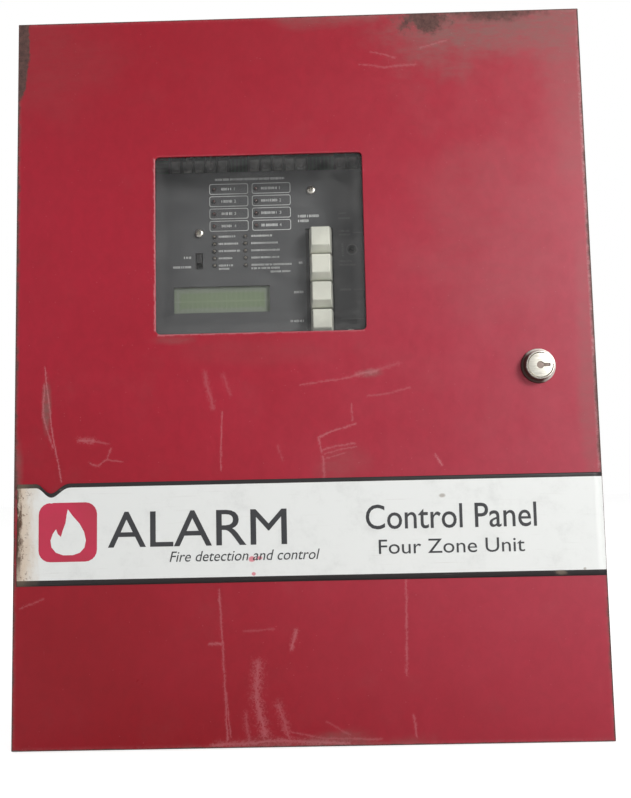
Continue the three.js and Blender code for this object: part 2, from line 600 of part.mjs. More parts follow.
add(power, "battery_lead_black", lead([
  [-BATTERY.x - 64, blade, bladeTop], [-BATTERY.x - 63, blade, bladeTop + 12], [-128, -76, -124],
  [-66, -76, -112], [-34, -60, -72], [-14.75, -36, -36], [-14.75, clampScrews, -24.5], [-14.75, clampScrews, -16],
], WIRE, 24), insulation(0x1a1a1c));
[[-169, -93.5, -32, 0xa8402e], [-174, -74.5, -40, 0x4f7fae]].forEach(([gutter, screw, out, colour], i) => {
  add(power, `transformer_lead_${i + 1}`, lead([
    [-118 + 12 * i, -54, -65.2], [-118 + 11 * i, -54, -52], [-132 + 4 * i, -52, -36 + 4 * i],
    [-152, -47 - 7 * i, -24 + 4 * i], [gutter, out - 8, 6],
    [gutter, out - 8, 90], [gutter + 2, out - 8, 168], [gutter + 22, out - 10, 196 - 4 * i],
    [screw - 20, out - 12, 204 - 4 * i],
    [screw - 3, out - 10, 199 - 3 * i], [screw, clampScrews - 2, 188], [screw, clampScrews, 178],
  ], WIRE, 34), insulation(colour));
});

export default panel;
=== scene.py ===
"""The looks of a wall-hung fire alarm control panel: a red enamelled cabinet whose door has a window,
a label and a lock, with the display plate, the circuit boards, the transformer and the batteries inside.

Lengths are in millimetres until a mesh is finished, which turns them into metres.
The origin is the centre of the cabinet's back, +Z is up and the front looks along -Y."""
import math
import random

import bmesh
import bpy
from mathutils import Matrix, Vector, noise


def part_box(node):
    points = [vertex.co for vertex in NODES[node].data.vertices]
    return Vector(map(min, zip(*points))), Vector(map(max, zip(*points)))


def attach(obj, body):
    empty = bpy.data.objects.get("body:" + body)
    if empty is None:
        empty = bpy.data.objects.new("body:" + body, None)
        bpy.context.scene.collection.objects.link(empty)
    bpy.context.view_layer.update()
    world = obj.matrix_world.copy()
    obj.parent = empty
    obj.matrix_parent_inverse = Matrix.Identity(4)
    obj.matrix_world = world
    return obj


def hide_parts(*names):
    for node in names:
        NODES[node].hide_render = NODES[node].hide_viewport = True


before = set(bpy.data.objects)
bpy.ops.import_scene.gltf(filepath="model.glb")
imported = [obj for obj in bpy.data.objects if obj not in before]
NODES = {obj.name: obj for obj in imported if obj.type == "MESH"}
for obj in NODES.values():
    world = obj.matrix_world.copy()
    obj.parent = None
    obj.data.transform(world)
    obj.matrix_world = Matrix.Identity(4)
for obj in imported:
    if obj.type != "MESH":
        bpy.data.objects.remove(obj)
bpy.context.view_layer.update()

MM = 0.001


def box_mm(node):
    """Lowest and highest corner of a CAD node, in millimetres."""
    low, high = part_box(node)
    return low / MM, high / MM


def middle_of(low, high):
    """The middle of a box, as x and z."""
    return (low.x + high.x) / 2, (low.z + high.z) / 2


# ------------------------------------------------------------------------------------ places
DOOR_LOW, DOOR_HIGH = box_mm("door_panel")
CABINET_LOW, CABINET_HIGH = box_mm("cabinet_body")
LENS_LOW, LENS_HIGH = box_mm("window_lens")
BAND_LOW, BAND_HIGH = box_mm("label_band")
LOCK_LOW, LOCK_HIGH = box_mm("lock_barrel")
BOARD_LOW, BOARD_HIGH = box_mm("main_board")
LOCK_CENTRE = (LOCK_LOW + LOCK_HIGH) / 2
DOOR_FRONT = DOOR_LOW.y
PLATE_FRONT = box_mm("faceplate")[0].y
BOARD_FRONT = BOARD_LOW.y
LENS_OVERLAP = 8
SHEET = 1.5


# ------------------------------------------------------------------------------------ camera and light
# Places and sizes in this section are in metres, the camera's lens and sensor in millimetres.
CAMERA_PLACE = (0.0148, -0.6529, -0.0699)
CAMERA_ANGLES = tuple(math.radians(a) for a in (94.96, 1.26, 0.885))
CAMERA_LENS = 36.09
SENSOR_WIDTH = 36
NEAREST_SEEN = 0.02


def add_camera():
    """The camera that looks at the front."""
    data = bpy.data.cameras.new("front_camera")
    data.lens = CAMERA_LENS
    data.sensor_width = SENSOR_WIDTH
    data.clip_start = NEAREST_SEEN
    camera = bpy.data.objects.new("front_camera", data)
    camera.location = CAMERA_PLACE
    camera.rotation_euler = CAMERA_ANGLES
    bpy.context.scene.collection.objects.link(camera)
    bpy.context.scene.camera = camera


def add_light(name, place, target, size, watts, colour):
    """A rectangular lamp that faces its target."""
    data = bpy.data.lights.new(name, "AREA")
    data.shape = "RECTANGLE"
    data.size, data.size_y = size
    data.energy = watts
    data.color = colour
    light = bpy.data.objects.new(name, data)
    light.location = place
    light.rotation_euler = (Vector(target) - Vector(place)).to_track_quat("-Z", "Y").to_euler()
    bpy.context.scene.collection.objects.link(light)


def add_sky():
    """An even white room that is seen as white but lights a little less than it shows."""
    world = bpy.data.worlds.new("studio")
    bpy.context.scene.world = world
    world.use_nodes = True
    tree = world.node_tree
    background = tree.nodes["Background"]
    path = tree.nodes.new("ShaderNodeLightPath")
    strength = tree.nodes.new("ShaderNodeMapRange")
    strength.inputs["To Min"].default_value = ROOM_LIGHT
    strength.inputs["To Max"].default_value = 1.0
    tree.links.new(path.outputs["Is Camera Ray"], strength.inputs["Value"])
    tree.links.new(strength.outputs["Result"], background.inputs["Strength"])
    background.inputs["Color"].default_value = (1, 1, 1, 1)


ROOM_LIGHT = 0.51
FLOOR_GLOW = 0.64
# Name, place, the point it is aimed at, width and height, watts, colour.
LIGHTS = (
    ("key", (1.45, -1.6, 0.85), (0.0, -0.1, 0.0), (0.65, 0.65), 34.5, (1, 0.985, 0.96)),
    ("side_glow", (1.25, -1.6, 0.1), (0.1, -0.1, 0.0), (0.9, 1.8), 9, (0.96, 0.98, 1)),
    ("back_fill", (-0.8, 1.6, 0.9), (0.0, 0.0, 0.0), (1.2, 1.2), 14, (1, 1, 1)),
)
add_camera()
add_sky()
for light_values in LIGHTS:
    add_light(*light_values)
bpy.context.scene.view_settings.view_transform = "Standard"


# ------------------------------------------------------------------------------------ node trees
class Nodes:
    """Adds nodes to one tree and links them. A value is a number, a colour or another node's socket."""

    def __init__(self, tree):
        self.tree = tree

    def add(self, kind, **settings):
        node = self.tree.nodes.new("ShaderNode" + kind)
        for key, value in settings.items():
            setattr(node, key, value)
        return node

    def feed(self, socket, value):
        if isinstance(value, bpy.types.NodeSocket):
            self.tree.links.new(value, socket)
        elif value is not None:
            if socket.type == "RGBA" and len(value) == 3:
                value = (*value, 1)
            socket.default_value = value

    def math(self, operation, *values, clamp=False):
        node = self.add("Math", operation=operation, use_clamp=clamp)
        for socket, value in zip(node.inputs, values):
            self.feed(socket, value)
        return node.outputs[0]

    def plus(self, first, second):
        return self.math("ADD", first, second)

    def minus(self, first, second):
        return self.math("SUBTRACT", first, second)

    def times(self, first, second):
        return self.math("MULTIPLY", first, second)

    def larger(self, first, second):
        return self.math("MAXIMUM", first, second)

    def vector(self, operation, *values):
        node = self.add("VectorMath", operation=operation)
        sockets = [node.inputs["Scale"] if operation == "SCALE" and i == 1 else node.inputs[i]
                   for i in range(len(values))]
        for socket, value in zip(sockets, values):
            self.feed(socket, value)
        scalar = operation in ("LENGTH", "DOT_PRODUCT", "DISTANCE")
        return node.outputs["Value" if scalar else "Vector"]

    def spread(self, value, low, high, to_low=0.0, to_high=1.0):
        """Maps low..high to to_low..to_high with soft ends."""
        node = self.add("MapRange", interpolation_type="SMOOTHSTEP")
        for socket, number in zip(node.inputs, (value, low, high, to_low, to_high)):
            self.feed(socket, number)
        return node.outputs["Result"]

    def noise(self, place, size, detail=3.0, roughness=0.5, warp=0.0):
        """Soft noise from 0 to 1, whose features are about size millimetres."""
        node = self.add("TexNoise")
        self.feed(node.inputs["Vector"], place)
        node.inputs["Scale"].default_value = 1 / size
        node.inputs["Detail"].default_value = detail
        node.inputs["Roughness"].default_value = roughness
        node.inputs["Distortion"].default_value = warp
        return node.outputs["Fac"]

    def noise_colours(self, place, size, detail=3.0):
        """Soft noise in three channels."""
        node = self.add("TexNoise")
        self.feed(node.inputs["Vector"], place)
        node.inputs["Scale"].default_value = 1 / size
        node.inputs["Detail"].default_value = detail
        return node.outputs["Color"]

    def cells(self, place, size):
        """Distance to the nearest of scattered points, in cells, and a random colour for each."""
        node = self.add("TexVoronoi")
        self.feed(node.inputs["Vector"], place)
        node.inputs["Scale"].default_value = 1 / size
        return node.outputs["Distance"], node.outputs["Color"]

    def mix(self, amount, first, second):
        node = self.add("Mix", data_type="RGBA")
        for index, value in ((0, amount), (6, first), (7, second)):
            self.feed(node.inputs[index], value)
        return node.outputs[2]

    def tint(self, colour, amount):
        """The colour times a number."""
        node = self.add("Mix", data_type="RGBA", blend_type="MULTIPLY")
        grey = self.add("CombineColor")
        for socket in grey.inputs:
            self.feed(socket, amount)
        for index, value in ((0, 1.0), (6, colour), (7, grey.outputs[0])):
            self.feed(node.inputs[index], value)
        return node.outputs[2]

    def place(self):
        """The object's own coordinates, in millimetres."""
        return self.vector("SCALE", self.add("TexCoord").outputs["Object"], 1 / MM)

    def parts(self, vector):
        node = self.add("SeparateXYZ")
        self.feed(node.inputs[0], vector)
        return node.outputs

    def stretch(self, place, x, y, z):
        return self.vector("MULTIPLY", place, (x, y, z))

    def bump(self, height, strength, distance=0.1):
        node = self.add("Bump")
        self.feed(node.inputs["Height"], height)
        node.inputs["Strength"].default_value = strength
        node.inputs["Distance"].default_value = distance * MM
        return node.outputs["Normal"]

    def use(self, group, **values):
        """Places a node group. Underscores in the names of its inputs stand for spaces."""
        node = self.add("Group", node_tree=group)
        for key, value in values.items():
            self.feed(node.inputs[key.replace("_", " ")], value)
        return node.outputs


def new_group(name, inputs, outputs):
    """An empty node group, with its nodes, its inputs and its outputs."""
    tree = bpy.data.node_groups.new(name, "ShaderNodeTree")
    for direction, sockets in (("INPUT", inputs), ("OUTPUT", outputs)):
        for label, kind in sockets.items():
            tree.interface.new_socket(label, in_out=direction, socket_type="NodeSocket" + kind)
    entry = tree.nodes.new("NodeGroupInput").outputs
    way_out = tree.nodes.new("NodeGroupOutput").inputs
    return tree, Nodes(tree), entry, way_out


def edge_wear_group():
    """How worn a box is near its edges: Wear is 1 at an edge and 0 beyond Reach, with ragged borders."""
    tree, n, given, out = new_group(
        "edge wear",
        {"Place": "Vector", "Low": "Vector", "High": "Vector", "Reach": "Float", "Ragged": "Float"},
        {"Wear": "Float", "Distance": "Float"})
    to_low = n.vector("ABSOLUTE", n.vector("SUBTRACT", given["Place"], given["Low"]))
    to_high = n.vector("ABSOLUTE", n.vector("SUBTRACT", given["High"], given["Place"]))
    x, y, z = n.parts(n.vector("MINIMUM", to_low, to_high))
    distance = n.larger(n.math("MINIMUM", x, y), n.math("MINIMUM", n.larger(x, y), z))
    wander = n.minus(n.noise(given["Place"], 9, detail=6, roughness=0.65), 0.5)
    ragged = n.math("MULTIPLY_ADD", wander, given["Ragged"], distance)
    wear = n.spread(ragged, n.times(given["Reach"], 0.6), given["Reach"], 1, 0)
    n.feed(out["Wear"], wear)
    n.feed(out["Distance"], distance)
    return tree


def stroke_group():
    """A straight scratch from Start to End on a face that looks along Y."""
    tree, n, given, out = new_group(
        "stroke",
        {"Place": "Vector", "Start": "Vector", "End": "Vector", "Width": "Float", "Broken": "Float"},
        {"Mask": "Float"})
    from_start = n.vector("SUBTRACT", n.stretch(given["Place"], 1, 0, 1), given["Start"])
    along = n.vector("SUBTRACT", given["End"], given["Start"])
    share = n.math("DIVIDE", n.vector("DOT_PRODUCT", from_start, along),
                   n.vector("DOT_PRODUCT", along, along))
    nearest = n.vector("SCALE", along, n.larger(n.math("MINIMUM", share, 1), 0))
    distance = n.vector("DISTANCE", from_start, nearest)
    width = n.times(given["Width"], n.larger(given["Broken"], 0.01))
    n.feed(out["Mask"], n.larger(n.minus(1, n.math("DIVIDE", distance, width)), 0))
    return tree


def patch_group():
    """A soft, ragged patch round Centre that reaches Reach each way, on a face that looks along Y."""
    tree, n, given, out = new_group(
        "patch", {"Place": "Vector", "Centre": "Vector", "Reach": "Vector", "Ragged": "Float",
                  "Soft": "Float"}, {"Mask": "Float"})
    offset = n.vector("DIVIDE", n.vector("SUBTRACT", given["Place"], given["Centre"]), given["Reach"])
    distance = n.vector("LENGTH", n.stretch(offset, 1, 0, 1))
    wander = n.minus(n.noise(given["Place"], 9, detail=8, roughness=0.72), 0.5)
    ragged = n.math("MULTIPLY_ADD", wander, given["Ragged"], distance)
    n.feed(out["Mask"], n.spread(ragged, n.minus(1, given["Soft"]), 1, 1, 0))
    return tree


def haze_group():
    """A soft rubbed haze round Centre that reaches Reach each way, streaked sideways."""
    tree, n, given, out = new_group(
        "haze", {"Place": "Vector", "Centre": "Vector", "Reach": "Vector", "Ragged": "Float"},
        {"Mask": "Float"})
    offset = n.vector("DIVIDE", n.vector("SUBTRACT", given["Place"], given["Centre"]), given["Reach"])
    distance = n.vector("LENGTH", n.stretch(offset, 1, 0, 1))
    wander = n.minus(n.noise(given["Place"], 38, detail=4, roughness=0.6), 0.5)
    near = n.spread(n.math("MULTIPLY_ADD", wander, given["Ragged"], distance), 0.25, 1.1, 1, 0)
    streaks = n.noise(n.stretch(given["Place"], 0.3, 1, 1), 3.2, detail=8, roughness=0.8)
    n.feed(out["Mask"], n.times(near, n.spread(streaks, 0.36, 0.62, 0.5, 1)))
    return tree


def specks_group():
    """Scattered specks of about Size, of which only a Share is there."""
    tree, n, given, out = new_group(
        "specks", {"Place": "Vector", "Size": "Float", "Share": "Float"}, {"Mask": "Float"})
    scaled = n.vector("SCALE", given["Place"], n.math("DIVIDE", 0.2, given["Size"]))
    distance, colour = n.cells(scaled, 1)
    chosen = n.math("LESS_THAN", n.parts(colour)[0], given["Share"])
    reach = n.times(n.parts(colour)[1], 0.2)
    spot = n.spread(distance, n.times(reach, 0.5), reach, 1, 0)
    n.feed(out["Mask"], n.times(chosen, spot))
    return tree


def surface_group():
    """Fine relief of a moulded or sprayed surface: Height for a bump and Mottle for its gloss."""
    tree, n, given, out = new_group(
        "surface", {"Place": "Vector", "Size": "Float"}, {"Height": "Float", "Mottle": "Float"})
    fine = n.vector("SCALE", given["Place"], n.math("DIVIDE", 1, given["Size"]))
    n.feed(out["Height"], n.noise(fine, 1, detail=2))
    n.feed(out["Mottle"], n.noise(given["Place"], 28, detail=5, roughness=0.6))
    return tree


def dust_group():
    """Dust that settles where the surface looks up, with soft uneven borders."""
    tree, n, given, out = new_group("dust", {"Place": "Vector", "Amount": "Float"}, {"Mask": "Float"})
    up = n.parts(n.add("NewGeometry").outputs["Normal"])[2]
    uneven = n.spread(n.noise(given["Place"], 14, detail=6, roughness=0.7), 0.25, 0.8)
    upward = n.spread(up, 0.2, 0.95, 0.12, 1)
    n.feed(out["Mask"], n.math("MULTIPLY", n.times(uneven, upward), given["Amount"], clamp=True))
    return tree


EDGE_WEAR = edge_wear_group()
STROKE = stroke_group()
PATCH = patch_group()
HAZE = haze_group()
SPECKS = specks_group()
SURFACE = surface_group()
DUST = dust_group()


# ------------------------------------------------------------------------------------ materials
def new_material(name):
    """A material with its nodes and its Principled shader's inputs."""
    material = bpy.data.materials.new(name)
    material.use_nodes = True
    tree = material.node_tree
    return material, Nodes(tree), tree.nodes["Principled BSDF"].inputs


DUST_COLOUR = (0.42, 0.38, 0.33)


def plain_finish(name, colour, roughness, metal=0.0, grain=0.35, relief=0.25, mottle=0.14, dust=0.18,
                 coat=0.0, second=None):
    """A moulded, sprayed or plated finish with fine relief, uneven gloss, slight shade changes and dust."""
    material, n, shader = new_material(name)
    place = n.place()
    surface = n.use(SURFACE, Place=place, Size=grain)
    settled = n.use(DUST, Place=place, Amount=dust)["Mask"]
    other = second or tuple(c * 0.72 for c in colour)
    shade = n.mix(n.spread(surface["Mottle"], 0.3, 0.72), other, colour)
    n.feed(shader["Base Color"], n.mix(settled, shade, DUST_COLOUR))
    uneven = n.spread(surface["Mottle"], 0.25, 0.75, roughness - mottle / 2, roughness + mottle / 2)
    n.feed(shader["Roughness"], n.math("MULTIPLY_ADD", settled, 0.4, uneven, clamp=True))
    shader["Metallic"].default_value = metal
    shader["Coat Weight"].default_value = coat
    n.feed(shader["Normal"], n.bump(surface["Height"], relief, 0.05))
    return material


# Strokes on the door, as points (x, z), a width and a strength: scratches, and painted highlights along the
# window's edges.
SCRAPES_AND_LIT_EDGES = [
    ([(-180, 4.5), (-178.3, -14), (-174.5, -42), (-168, -75)], 1.6, 0.57),
    ([(-180.4, -8), (-181.5, -28), (-177.5, -42), (-173.5, -52)], 2.3, 0.47),
    ([(-156, -47.0), (-146, -47.8)], 4.9, 0.47),
    ([(-148, -47.8), (-136, -50)], 2.9, 0.28),
    ([(-134, -53), (-137, -61), (-143, -65), (-149, -63)], 2.2, 0.38),
    ([(-137, -61), (-126, -62.6)], 1.6, 0.33),
    ([(-57.2, -29.7), (-58.4, -69.5)], 1.7, 0.47),
    ([(-60.7, -150.3), (-58.5, -190), (-55.9, -249)], 2.2, 0.40),
    ([(-57.8, -208), (-53.8, -247)], 1.6, 0.34),
    ([(-68.7, -1.7), (-66.3, -15), (-63.4, -26.8)], 4.6, 0.28),
    ([(-56, -4), (-51.6, -18)], 4.1, 0.19),
    ([(-3, -12.3), (30, -8), (52, -2.6)], 2.2, 0.34),
    ([(36, -6.3), (50, -3.6)], 4.3, 0.43),
    ([(50, -3), (66, 1.5)], 3.8, 0.19),
    ([(43.6, -21), (56, -19.8), (72.6, -15.8)], 2.3, 0.25),
    ([(32.4, -26.3), (32.1, -37.3)], 1.9, 0.38),
    ([(34.1, -40.1), (20, -44.6), (8.5, -48.4), (11, -58.7)], 2.2, 0.46),
    ([(11, -57.6), (22, -54.6), (33.7, -53.2)], 2.0, 0.40),
    ([(13, -60.2), (24, -57), (34.5, -55.6)], 1.7, 0.34),
    ([(14, -63), (27, -59.6)], 1.4, 0.28),
    ([(11.5, -62), (12, -77.9)], 2.6, 0.38),
    ([(-19, -54), (-16, -64)], 2.6, 0.19),
    ([(88.5, -62), (92.5, -69.5)], 2.3, 0.57),
    ([(65.8, -143.5), (64.4, -208.6)], 2.3, 0.38),
    ([(68.2, -234.6), (69.7, -248.8)], 2.6, 0.38),
    ([(-196, -160), (-180, -154)], 1.9, 0.28),
    ([(-67, -185.5), (-60, -186.5)], 2.9, 0.47),
    ([(-35, -200), (-36.5, -222), (-31, -246)], 9.5, 0.4),
    ([(-22, -226), (-15, -248)], 7.0, 0.3),
    ([(-44, -232), (-42, -250)], 5.0, 0.24),
    ([(-66, -252), (-20, -249.5), (24, -252)], 5.0, 0.4),
    ([(-20, -243), (8, -248.5), (46, -250)], 2.2, 0.26),
    ([(10, -238), (26, -247)], 2.0, 0.2),
    ([(-9, -178), (-12, -190)], 3.8, 0.47),
    ([(-44, -178), (-24, -177)], 2.3, 0.19),
    # The next four strokes are painted highlights, not scratches: the window's left, bottom and top cut
    # edges.
    ([(-103.2, 151), (-103.2, 28)], 1.9, 0.9),
    ([(-101, 24.8), (-30, 24.8)], 1.8, 0.8),
    ([(-30, 24.8), (42, 24.8)], 1.6, 0.5),
    ([(-101, 152.9), (42, 152.9)], 1.1, 0.2),
    ([(44, 217), (62, 214), (84, 216)], 2.3, 0.28),
    ([(52, 226), (70, 221)], 1.9, 0.28),
    ([(88, 228), (106, 233)], 2.3, 0.28),
]
# Bare patches on the door, and one painted shadow: centre (x, z), reach (x, z), raggedness, softness,
# strength.
BARE_AND_SHADED_PATCHES = [
    ((-205, 238), (13, 52), 0.5, 0.12, 1.0),
    ((-204.5, 0), (6.8, 420), 0.9, 0.4, 0.9),
    ((-205, -104), (7.0, 34), 1.6, 0.3, 0.85),
    # Painted shadow, not wear: the door's right bent edge seen in shade.
    ((204.5, 0), (6.6, 420), 0.9, 0.4, 0.85),
    ((0, 257), (420, 4.6), 0.8, 0.4, 0.9),
    ((90, 249), (23, 12), 2.2, 0.6, 0.95),
    ((143, 264), (50, 21), 1.0, 0.4, 0.9),
]
# Hazy rubbed patches: centre (x, z), reach (x, z), raggedness, strength.
HAZE_PATCHES = [
    ((140, 250), (112, 50), 1.4, 0.85),
    ((30, 254), (70, 12), 1.4, 0.5),
    ((203, 190), (32, 110), 1.6, 0.3),
    ((-178.5, -26), (4.0, 24), 1.0, 0.8),
    ((-8, -256), (90, 12), 2.0, 0.5),
    ((45, -5), (11, 4.5), 1.2, 0.6),
    ((25, -68), (24, 16), 1.2, 0.24),
    ((-34, 12), (80, 13), 1.0, 0.12),
    ((-90, 21), (18, 5), 1.2, 0.45),
    ((-184, 222), (70, 60), 1.2, 0.14),
    ((-199, -70), (6, 30), 1.2, 0.6),
    ((195, -20), (9, 130), 1.4, 0.35),
    ((128, 90), (70, 90), 1.4, 0.14),
]
RED = (0.345, 0.0085, 0.0255)
# Painted shade: the red in shadow.
SHADED_RED = (0.24, 0.002, 0.008)
RUBBED_RED = (0.185, 0.085, 0.078)
# Painted sheen: the red paled by the light's reflection.
SHEEN_RED = (0.36, 0.038, 0.064)
# Scrapes, and painted highlights along lit edges.
SCRAPED_AND_LIT_RED = (0.5, 0.17, 0.19)
# These two metal colours paint bare steel, and also the painted shadow strip along the door's right bent
# edge.
BARE_METAL_AND_SHADOW = (0.05, 0.024, 0.022)
RUSTED_METAL_AND_SHADOW = (0.115, 0.055, 0.047)
LIGHT_RIM = (0.5, 0.27, 0.28)


def rubbed_mask(n, place, haze):
    """How dull the enamel is rubbed: a little all over, and more in the hazy patches."""
    dull = n.spread(n.noise(place, 40, detail=8, roughness=0.75), 0.5, 0.85, 0, 0.12)
    for (cx, cz), (rx, rz), ragged, strength in haze:
        spot = n.use(HAZE, Place=place, Centre=(cx, 0, cz), Reach=(rx, 1, rz), Ragged=ragged)
        dull = n.larger(dull, n.times(spot["Mask"], strength))
    return dull


def scratch_mask(n, place, scrapes_and_lit_edges):
    """Specks, hairlines and strokes that drift and break, and the mask that breaks them. The strokes given
    may be painted highlights of lit edges as well as scratches.
    """
    wander = n.vector("SCALE", n.vector("SUBTRACT", n.noise_colours(place, 9), (0.5, 0.5, 0.5)), 1.8)
    drifting = n.vector("ADD", place, wander)
    broken = n.spread(n.noise(place, 1.5, detail=6, roughness=0.85), 0.36, 0.66, 0.0, 1)
    marks = n.use(SPECKS, Place=place, Size=0.45, Share=0.05)["Mask"]
    hairs = n.noise(n.stretch(drifting, 1, 1, 0.06), 0.7, detail=2)
    marks = n.larger(n.times(marks, 0.45), n.spread(hairs, 0.74, 0.84, 0, 0.14))
    for points, width, strength in scrapes_and_lit_edges:
        for (x0, z0), (x1, z1) in zip(points, points[1:]):
            stroke = n.use(STROKE, Place=drifting, Start=(x0, 0, z0), End=(x1, 0, z1), Width=width,
                           Broken=broken)
            marks = n.larger(marks, n.times(stroke["Mask"], strength))
    return marks, broken


def red_enamel(name, low, high, wear, scrapes_and_lit_edges=(), bare_and_shaded=(), haze=(), back_is_clean=False):
    """Semi-gloss red enamel on sheet steel, rubbed through along its edges and scratched on its face, with
    painted shade, a painted sheen, and painted highlights and shadow where given.
    """
    material, n, shader = new_material(name)
    place = n.place()
    surface = n.use(SURFACE, Place=place, Size=1.6)
    cloud = n.noise(place, 95, detail=4, roughness=0.6)
    x, y, z = n.parts(place)
    outside = n.spread(y, low.y + 0.3, low.y + 0.8, 1, 0 if back_is_clean else 1)

    # Painted shade: darker towards the lower left, towards the top and in cloudy patches. Painted sheen:
    # paler and pinker towards the right, where the light is reflected.
    lower = n.math("MULTIPLY_ADD", x, 0.0012, n.times(z, 0.0024))
    painted_shade = n.plus(n.spread(lower, -0.75, -0.1, 0.78, 0.0), n.spread(cloud, 0.3, 0.7, 0.2, 0.0))
    painted_shade = n.larger(painted_shade, n.spread(z, 60, 262, 0, 0.5))
    shade = n.mix(painted_shade, RED, SHADED_RED)
    sunward = n.spread(n.math("MULTIPLY_ADD", cloud, 90, x), -90, 330)
    painted_sheen = n.times(sunward, n.spread(z, -260, -60, 0.45, 1))
    painted_sheen = n.times(painted_sheen, n.spread(z, 30, 220, 1, 0.5))
    shade = n.mix(n.times(painted_sheen, outside), shade, SHEEN_RED)
    rubbed = n.noise(n.stretch(place, 1, 1, 0.8), 7, detail=8, roughness=0.72, warp=0.5)
    shade = n.tint(shade, n.spread(rubbed, 0.3, 0.7, 0.93, 1.04))

    # Rubbed dull, then scratched, with painted highlights along lit edges where those are among the strokes.
    dull = n.times(rubbed_mask(n, place, haze), outside)
    shade = n.mix(dull, shade, RUBBED_RED)
    marks, broken = scratch_mask(n, place, scrapes_and_lit_edges)
    marks = n.times(marks, outside)
    shade = n.mix(marks, shade, SCRAPED_AND_LIT_RED)

    # A pale rim beside the edges, most where hands reach for the lock, then bare metal; one given patch is
    # not bare metal but a painted shadow along the door's right bent edge.
    edges = n.use(EDGE_WEAR, Place=place, Low=tuple(low), High=tuple(high), Reach=wear, Ragged=wear * 1.6)
    from_lock = n.spread(n.math("ABSOLUTE", n.minus(z, 60)), 90, 210, 1, 0)
    handled = n.math("MULTIPLY_ADD", n.times(n.spread(x, 150, 200), from_lock), 0.9, 0.12)
    rim = n.spread(edges["Distance"], wear, wear * 3.2, handled, 0)
    shade = n.mix(n.times(rim, broken), shade, LIGHT_RIM)
    worn_and_shaded = n.times(edges["Wear"], outside)
    for (cx, cz), (rx, rz), ragged, soft, strength in bare_and_shaded:
        spot = n.use(PATCH, Place=place, Centre=(cx, 0, cz), Reach=(rx, 1, rz), Ragged=ragged, Soft=soft)
        worn_and_shaded = n.larger(worn_and_shaded, n.times(n.times(spot["Mask"], strength), outside))
    bare_metal_and_shadow = n.mix(n.spread(n.noise(place, 4, detail=8, roughness=0.8), 0.35, 0.65), BARE_METAL_AND_SHADOW,
                 RUSTED_METAL_AND_SHADOW)
    shade = n.mix(worn_and_shaded, shade, bare_metal_and_shadow)
    n.feed(shader["Base Color"], shade)

    gloss = n.spread(surface["Mottle"], 0.2, 0.8, 0.27, 0.4)
    gloss = n.math("MULTIPLY_ADD", dull, 0.35, gloss)
    gloss = n.math("MULTIPLY_ADD", n.larger(marks, worn_and_shaded), 0.3, gloss, clamp=True)
    n.feed(shader["Roughness"], gloss)
    shader["Specular IOR Level"].default_value = 0.4
    buckle = n.times(n.noise(place, 130, detail=1), 16)
    n.feed(shader["Normal"], n.bump(n.plus(surface["Height"], buckle), 0.22, 0.06))
    return material


# Spots on the label: centre (x, z) and reach (x, z).
SMUDGES = (((186, -141), (1.6, 1.4)), ((92, -90), (2.6, 1.8)), ((170, -143), (5, 2.5)))
PAINT_DROPS = (((-38, -130), (3, 2.4)), ((-33, -129.4), (2.4, 1.6)), ((-37, -140), (1.6, 1.4)))
FILM_SPECK = (0.12, 0.09, 0.08)
FILM_STREAK = (0.4, 0.36, 0.33)
YELLOWED_FILM = (0.55, 0.4, 0.26)
BURNT_FILM = (0.075, 0.035, 0.018)
BURNT_FLECK = (0.12, 0.06, 0.035)
SMUDGE = (0.22, 0.17, 0.13)
PAINT_DROP = (0.6, 0.03, 0.09)
FILM_MIDDLE = -106  # the height at which the scorched end is darkest


def film_finish(name, colour, scorch, soil):
    """Printed plastic film: soiled all over, and scorched brown towards its left end."""
    material, n, shader = new_material(name)
    place = n.place()
    x, _, z = n.parts(place)
    surface = n.use(SURFACE, Place=place, Size=0.5)
    soiled = n.spread(n.noise(place, 26, detail=8, roughness=0.72), 0.48, 0.8, 0, soil)
    shade = n.mix(soiled, colour, tuple(c * 0.55 for c in colour))
    specks = n.use(SPECKS, Place=place, Size=0.5, Share=0.09)["Mask"]
    shade = n.mix(n.times(specks, 0.5), shade, FILM_SPECK)
    streaks = n.noise(n.stretch(place, 0.05, 1, 1), 1.6, detail=4)
    shade = n.mix(n.spread(streaks, 0.62, 0.8, 0, soil * 0.6), shade, FILM_STREAK)
    left = n.minus(x, BAND_LOW.x)
    wander = n.noise(n.stretch(place, 1, 1, 0.35), 6, detail=8, roughness=0.75)
    ragged = n.math("MULTIPLY_ADD", wander, 20, left)
    yellow = n.spread(ragged, 12, 29, 0.7, 0)
    flecks = n.spread(n.noise(place, 2.2, detail=6, roughness=0.75), 0.56, 0.64)
    flecks = n.times(flecks, n.spread(left, 5, 13, 0.8, 0))
    burnt = n.spread(ragged, 10.5, 14.0, 1, 0)
    middle = n.spread(n.math("ABSOLUTE", n.minus(z, FILM_MIDDLE)), 16, 36, 1, 0.3)
    shade = n.mix(n.times(yellow, scorch), shade, YELLOWED_FILM)
    shade = n.mix(n.times(n.times(burnt, middle), scorch), shade, BURNT_FILM)
    shade = n.mix(n.times(flecks, scorch), shade, BURNT_FLECK)
    for (cx, cz), (rx, rz) in SMUDGES:
        smudge = n.use(PATCH, Place=place, Centre=(cx, 0, cz), Reach=(rx, 1, rz), Ragged=1.2, Soft=0.6)
        shade = n.mix(n.times(smudge["Mask"], 0.6), shade, SMUDGE)
    for (cx, cz), (rx, rz) in PAINT_DROPS:
        drop = n.use(PATCH, Place=place, Centre=(cx, 0, cz), Reach=(rx, 1, rz), Ragged=0.8, Soft=0.4)
        shade = n.mix(n.times(drop["Mask"], 0.7), shade, PAINT_DROP)
    n.feed(shader["Base Color"], shade)
    n.feed(shader["Roughness"], n.spread(surface["Mottle"], 0.2, 0.8, 0.32, 0.52))
    n.feed(shader["Normal"], n.bump(n.plus(surface["Height"], n.times(streaks, 2)), 0.12, 0.05))
    return material


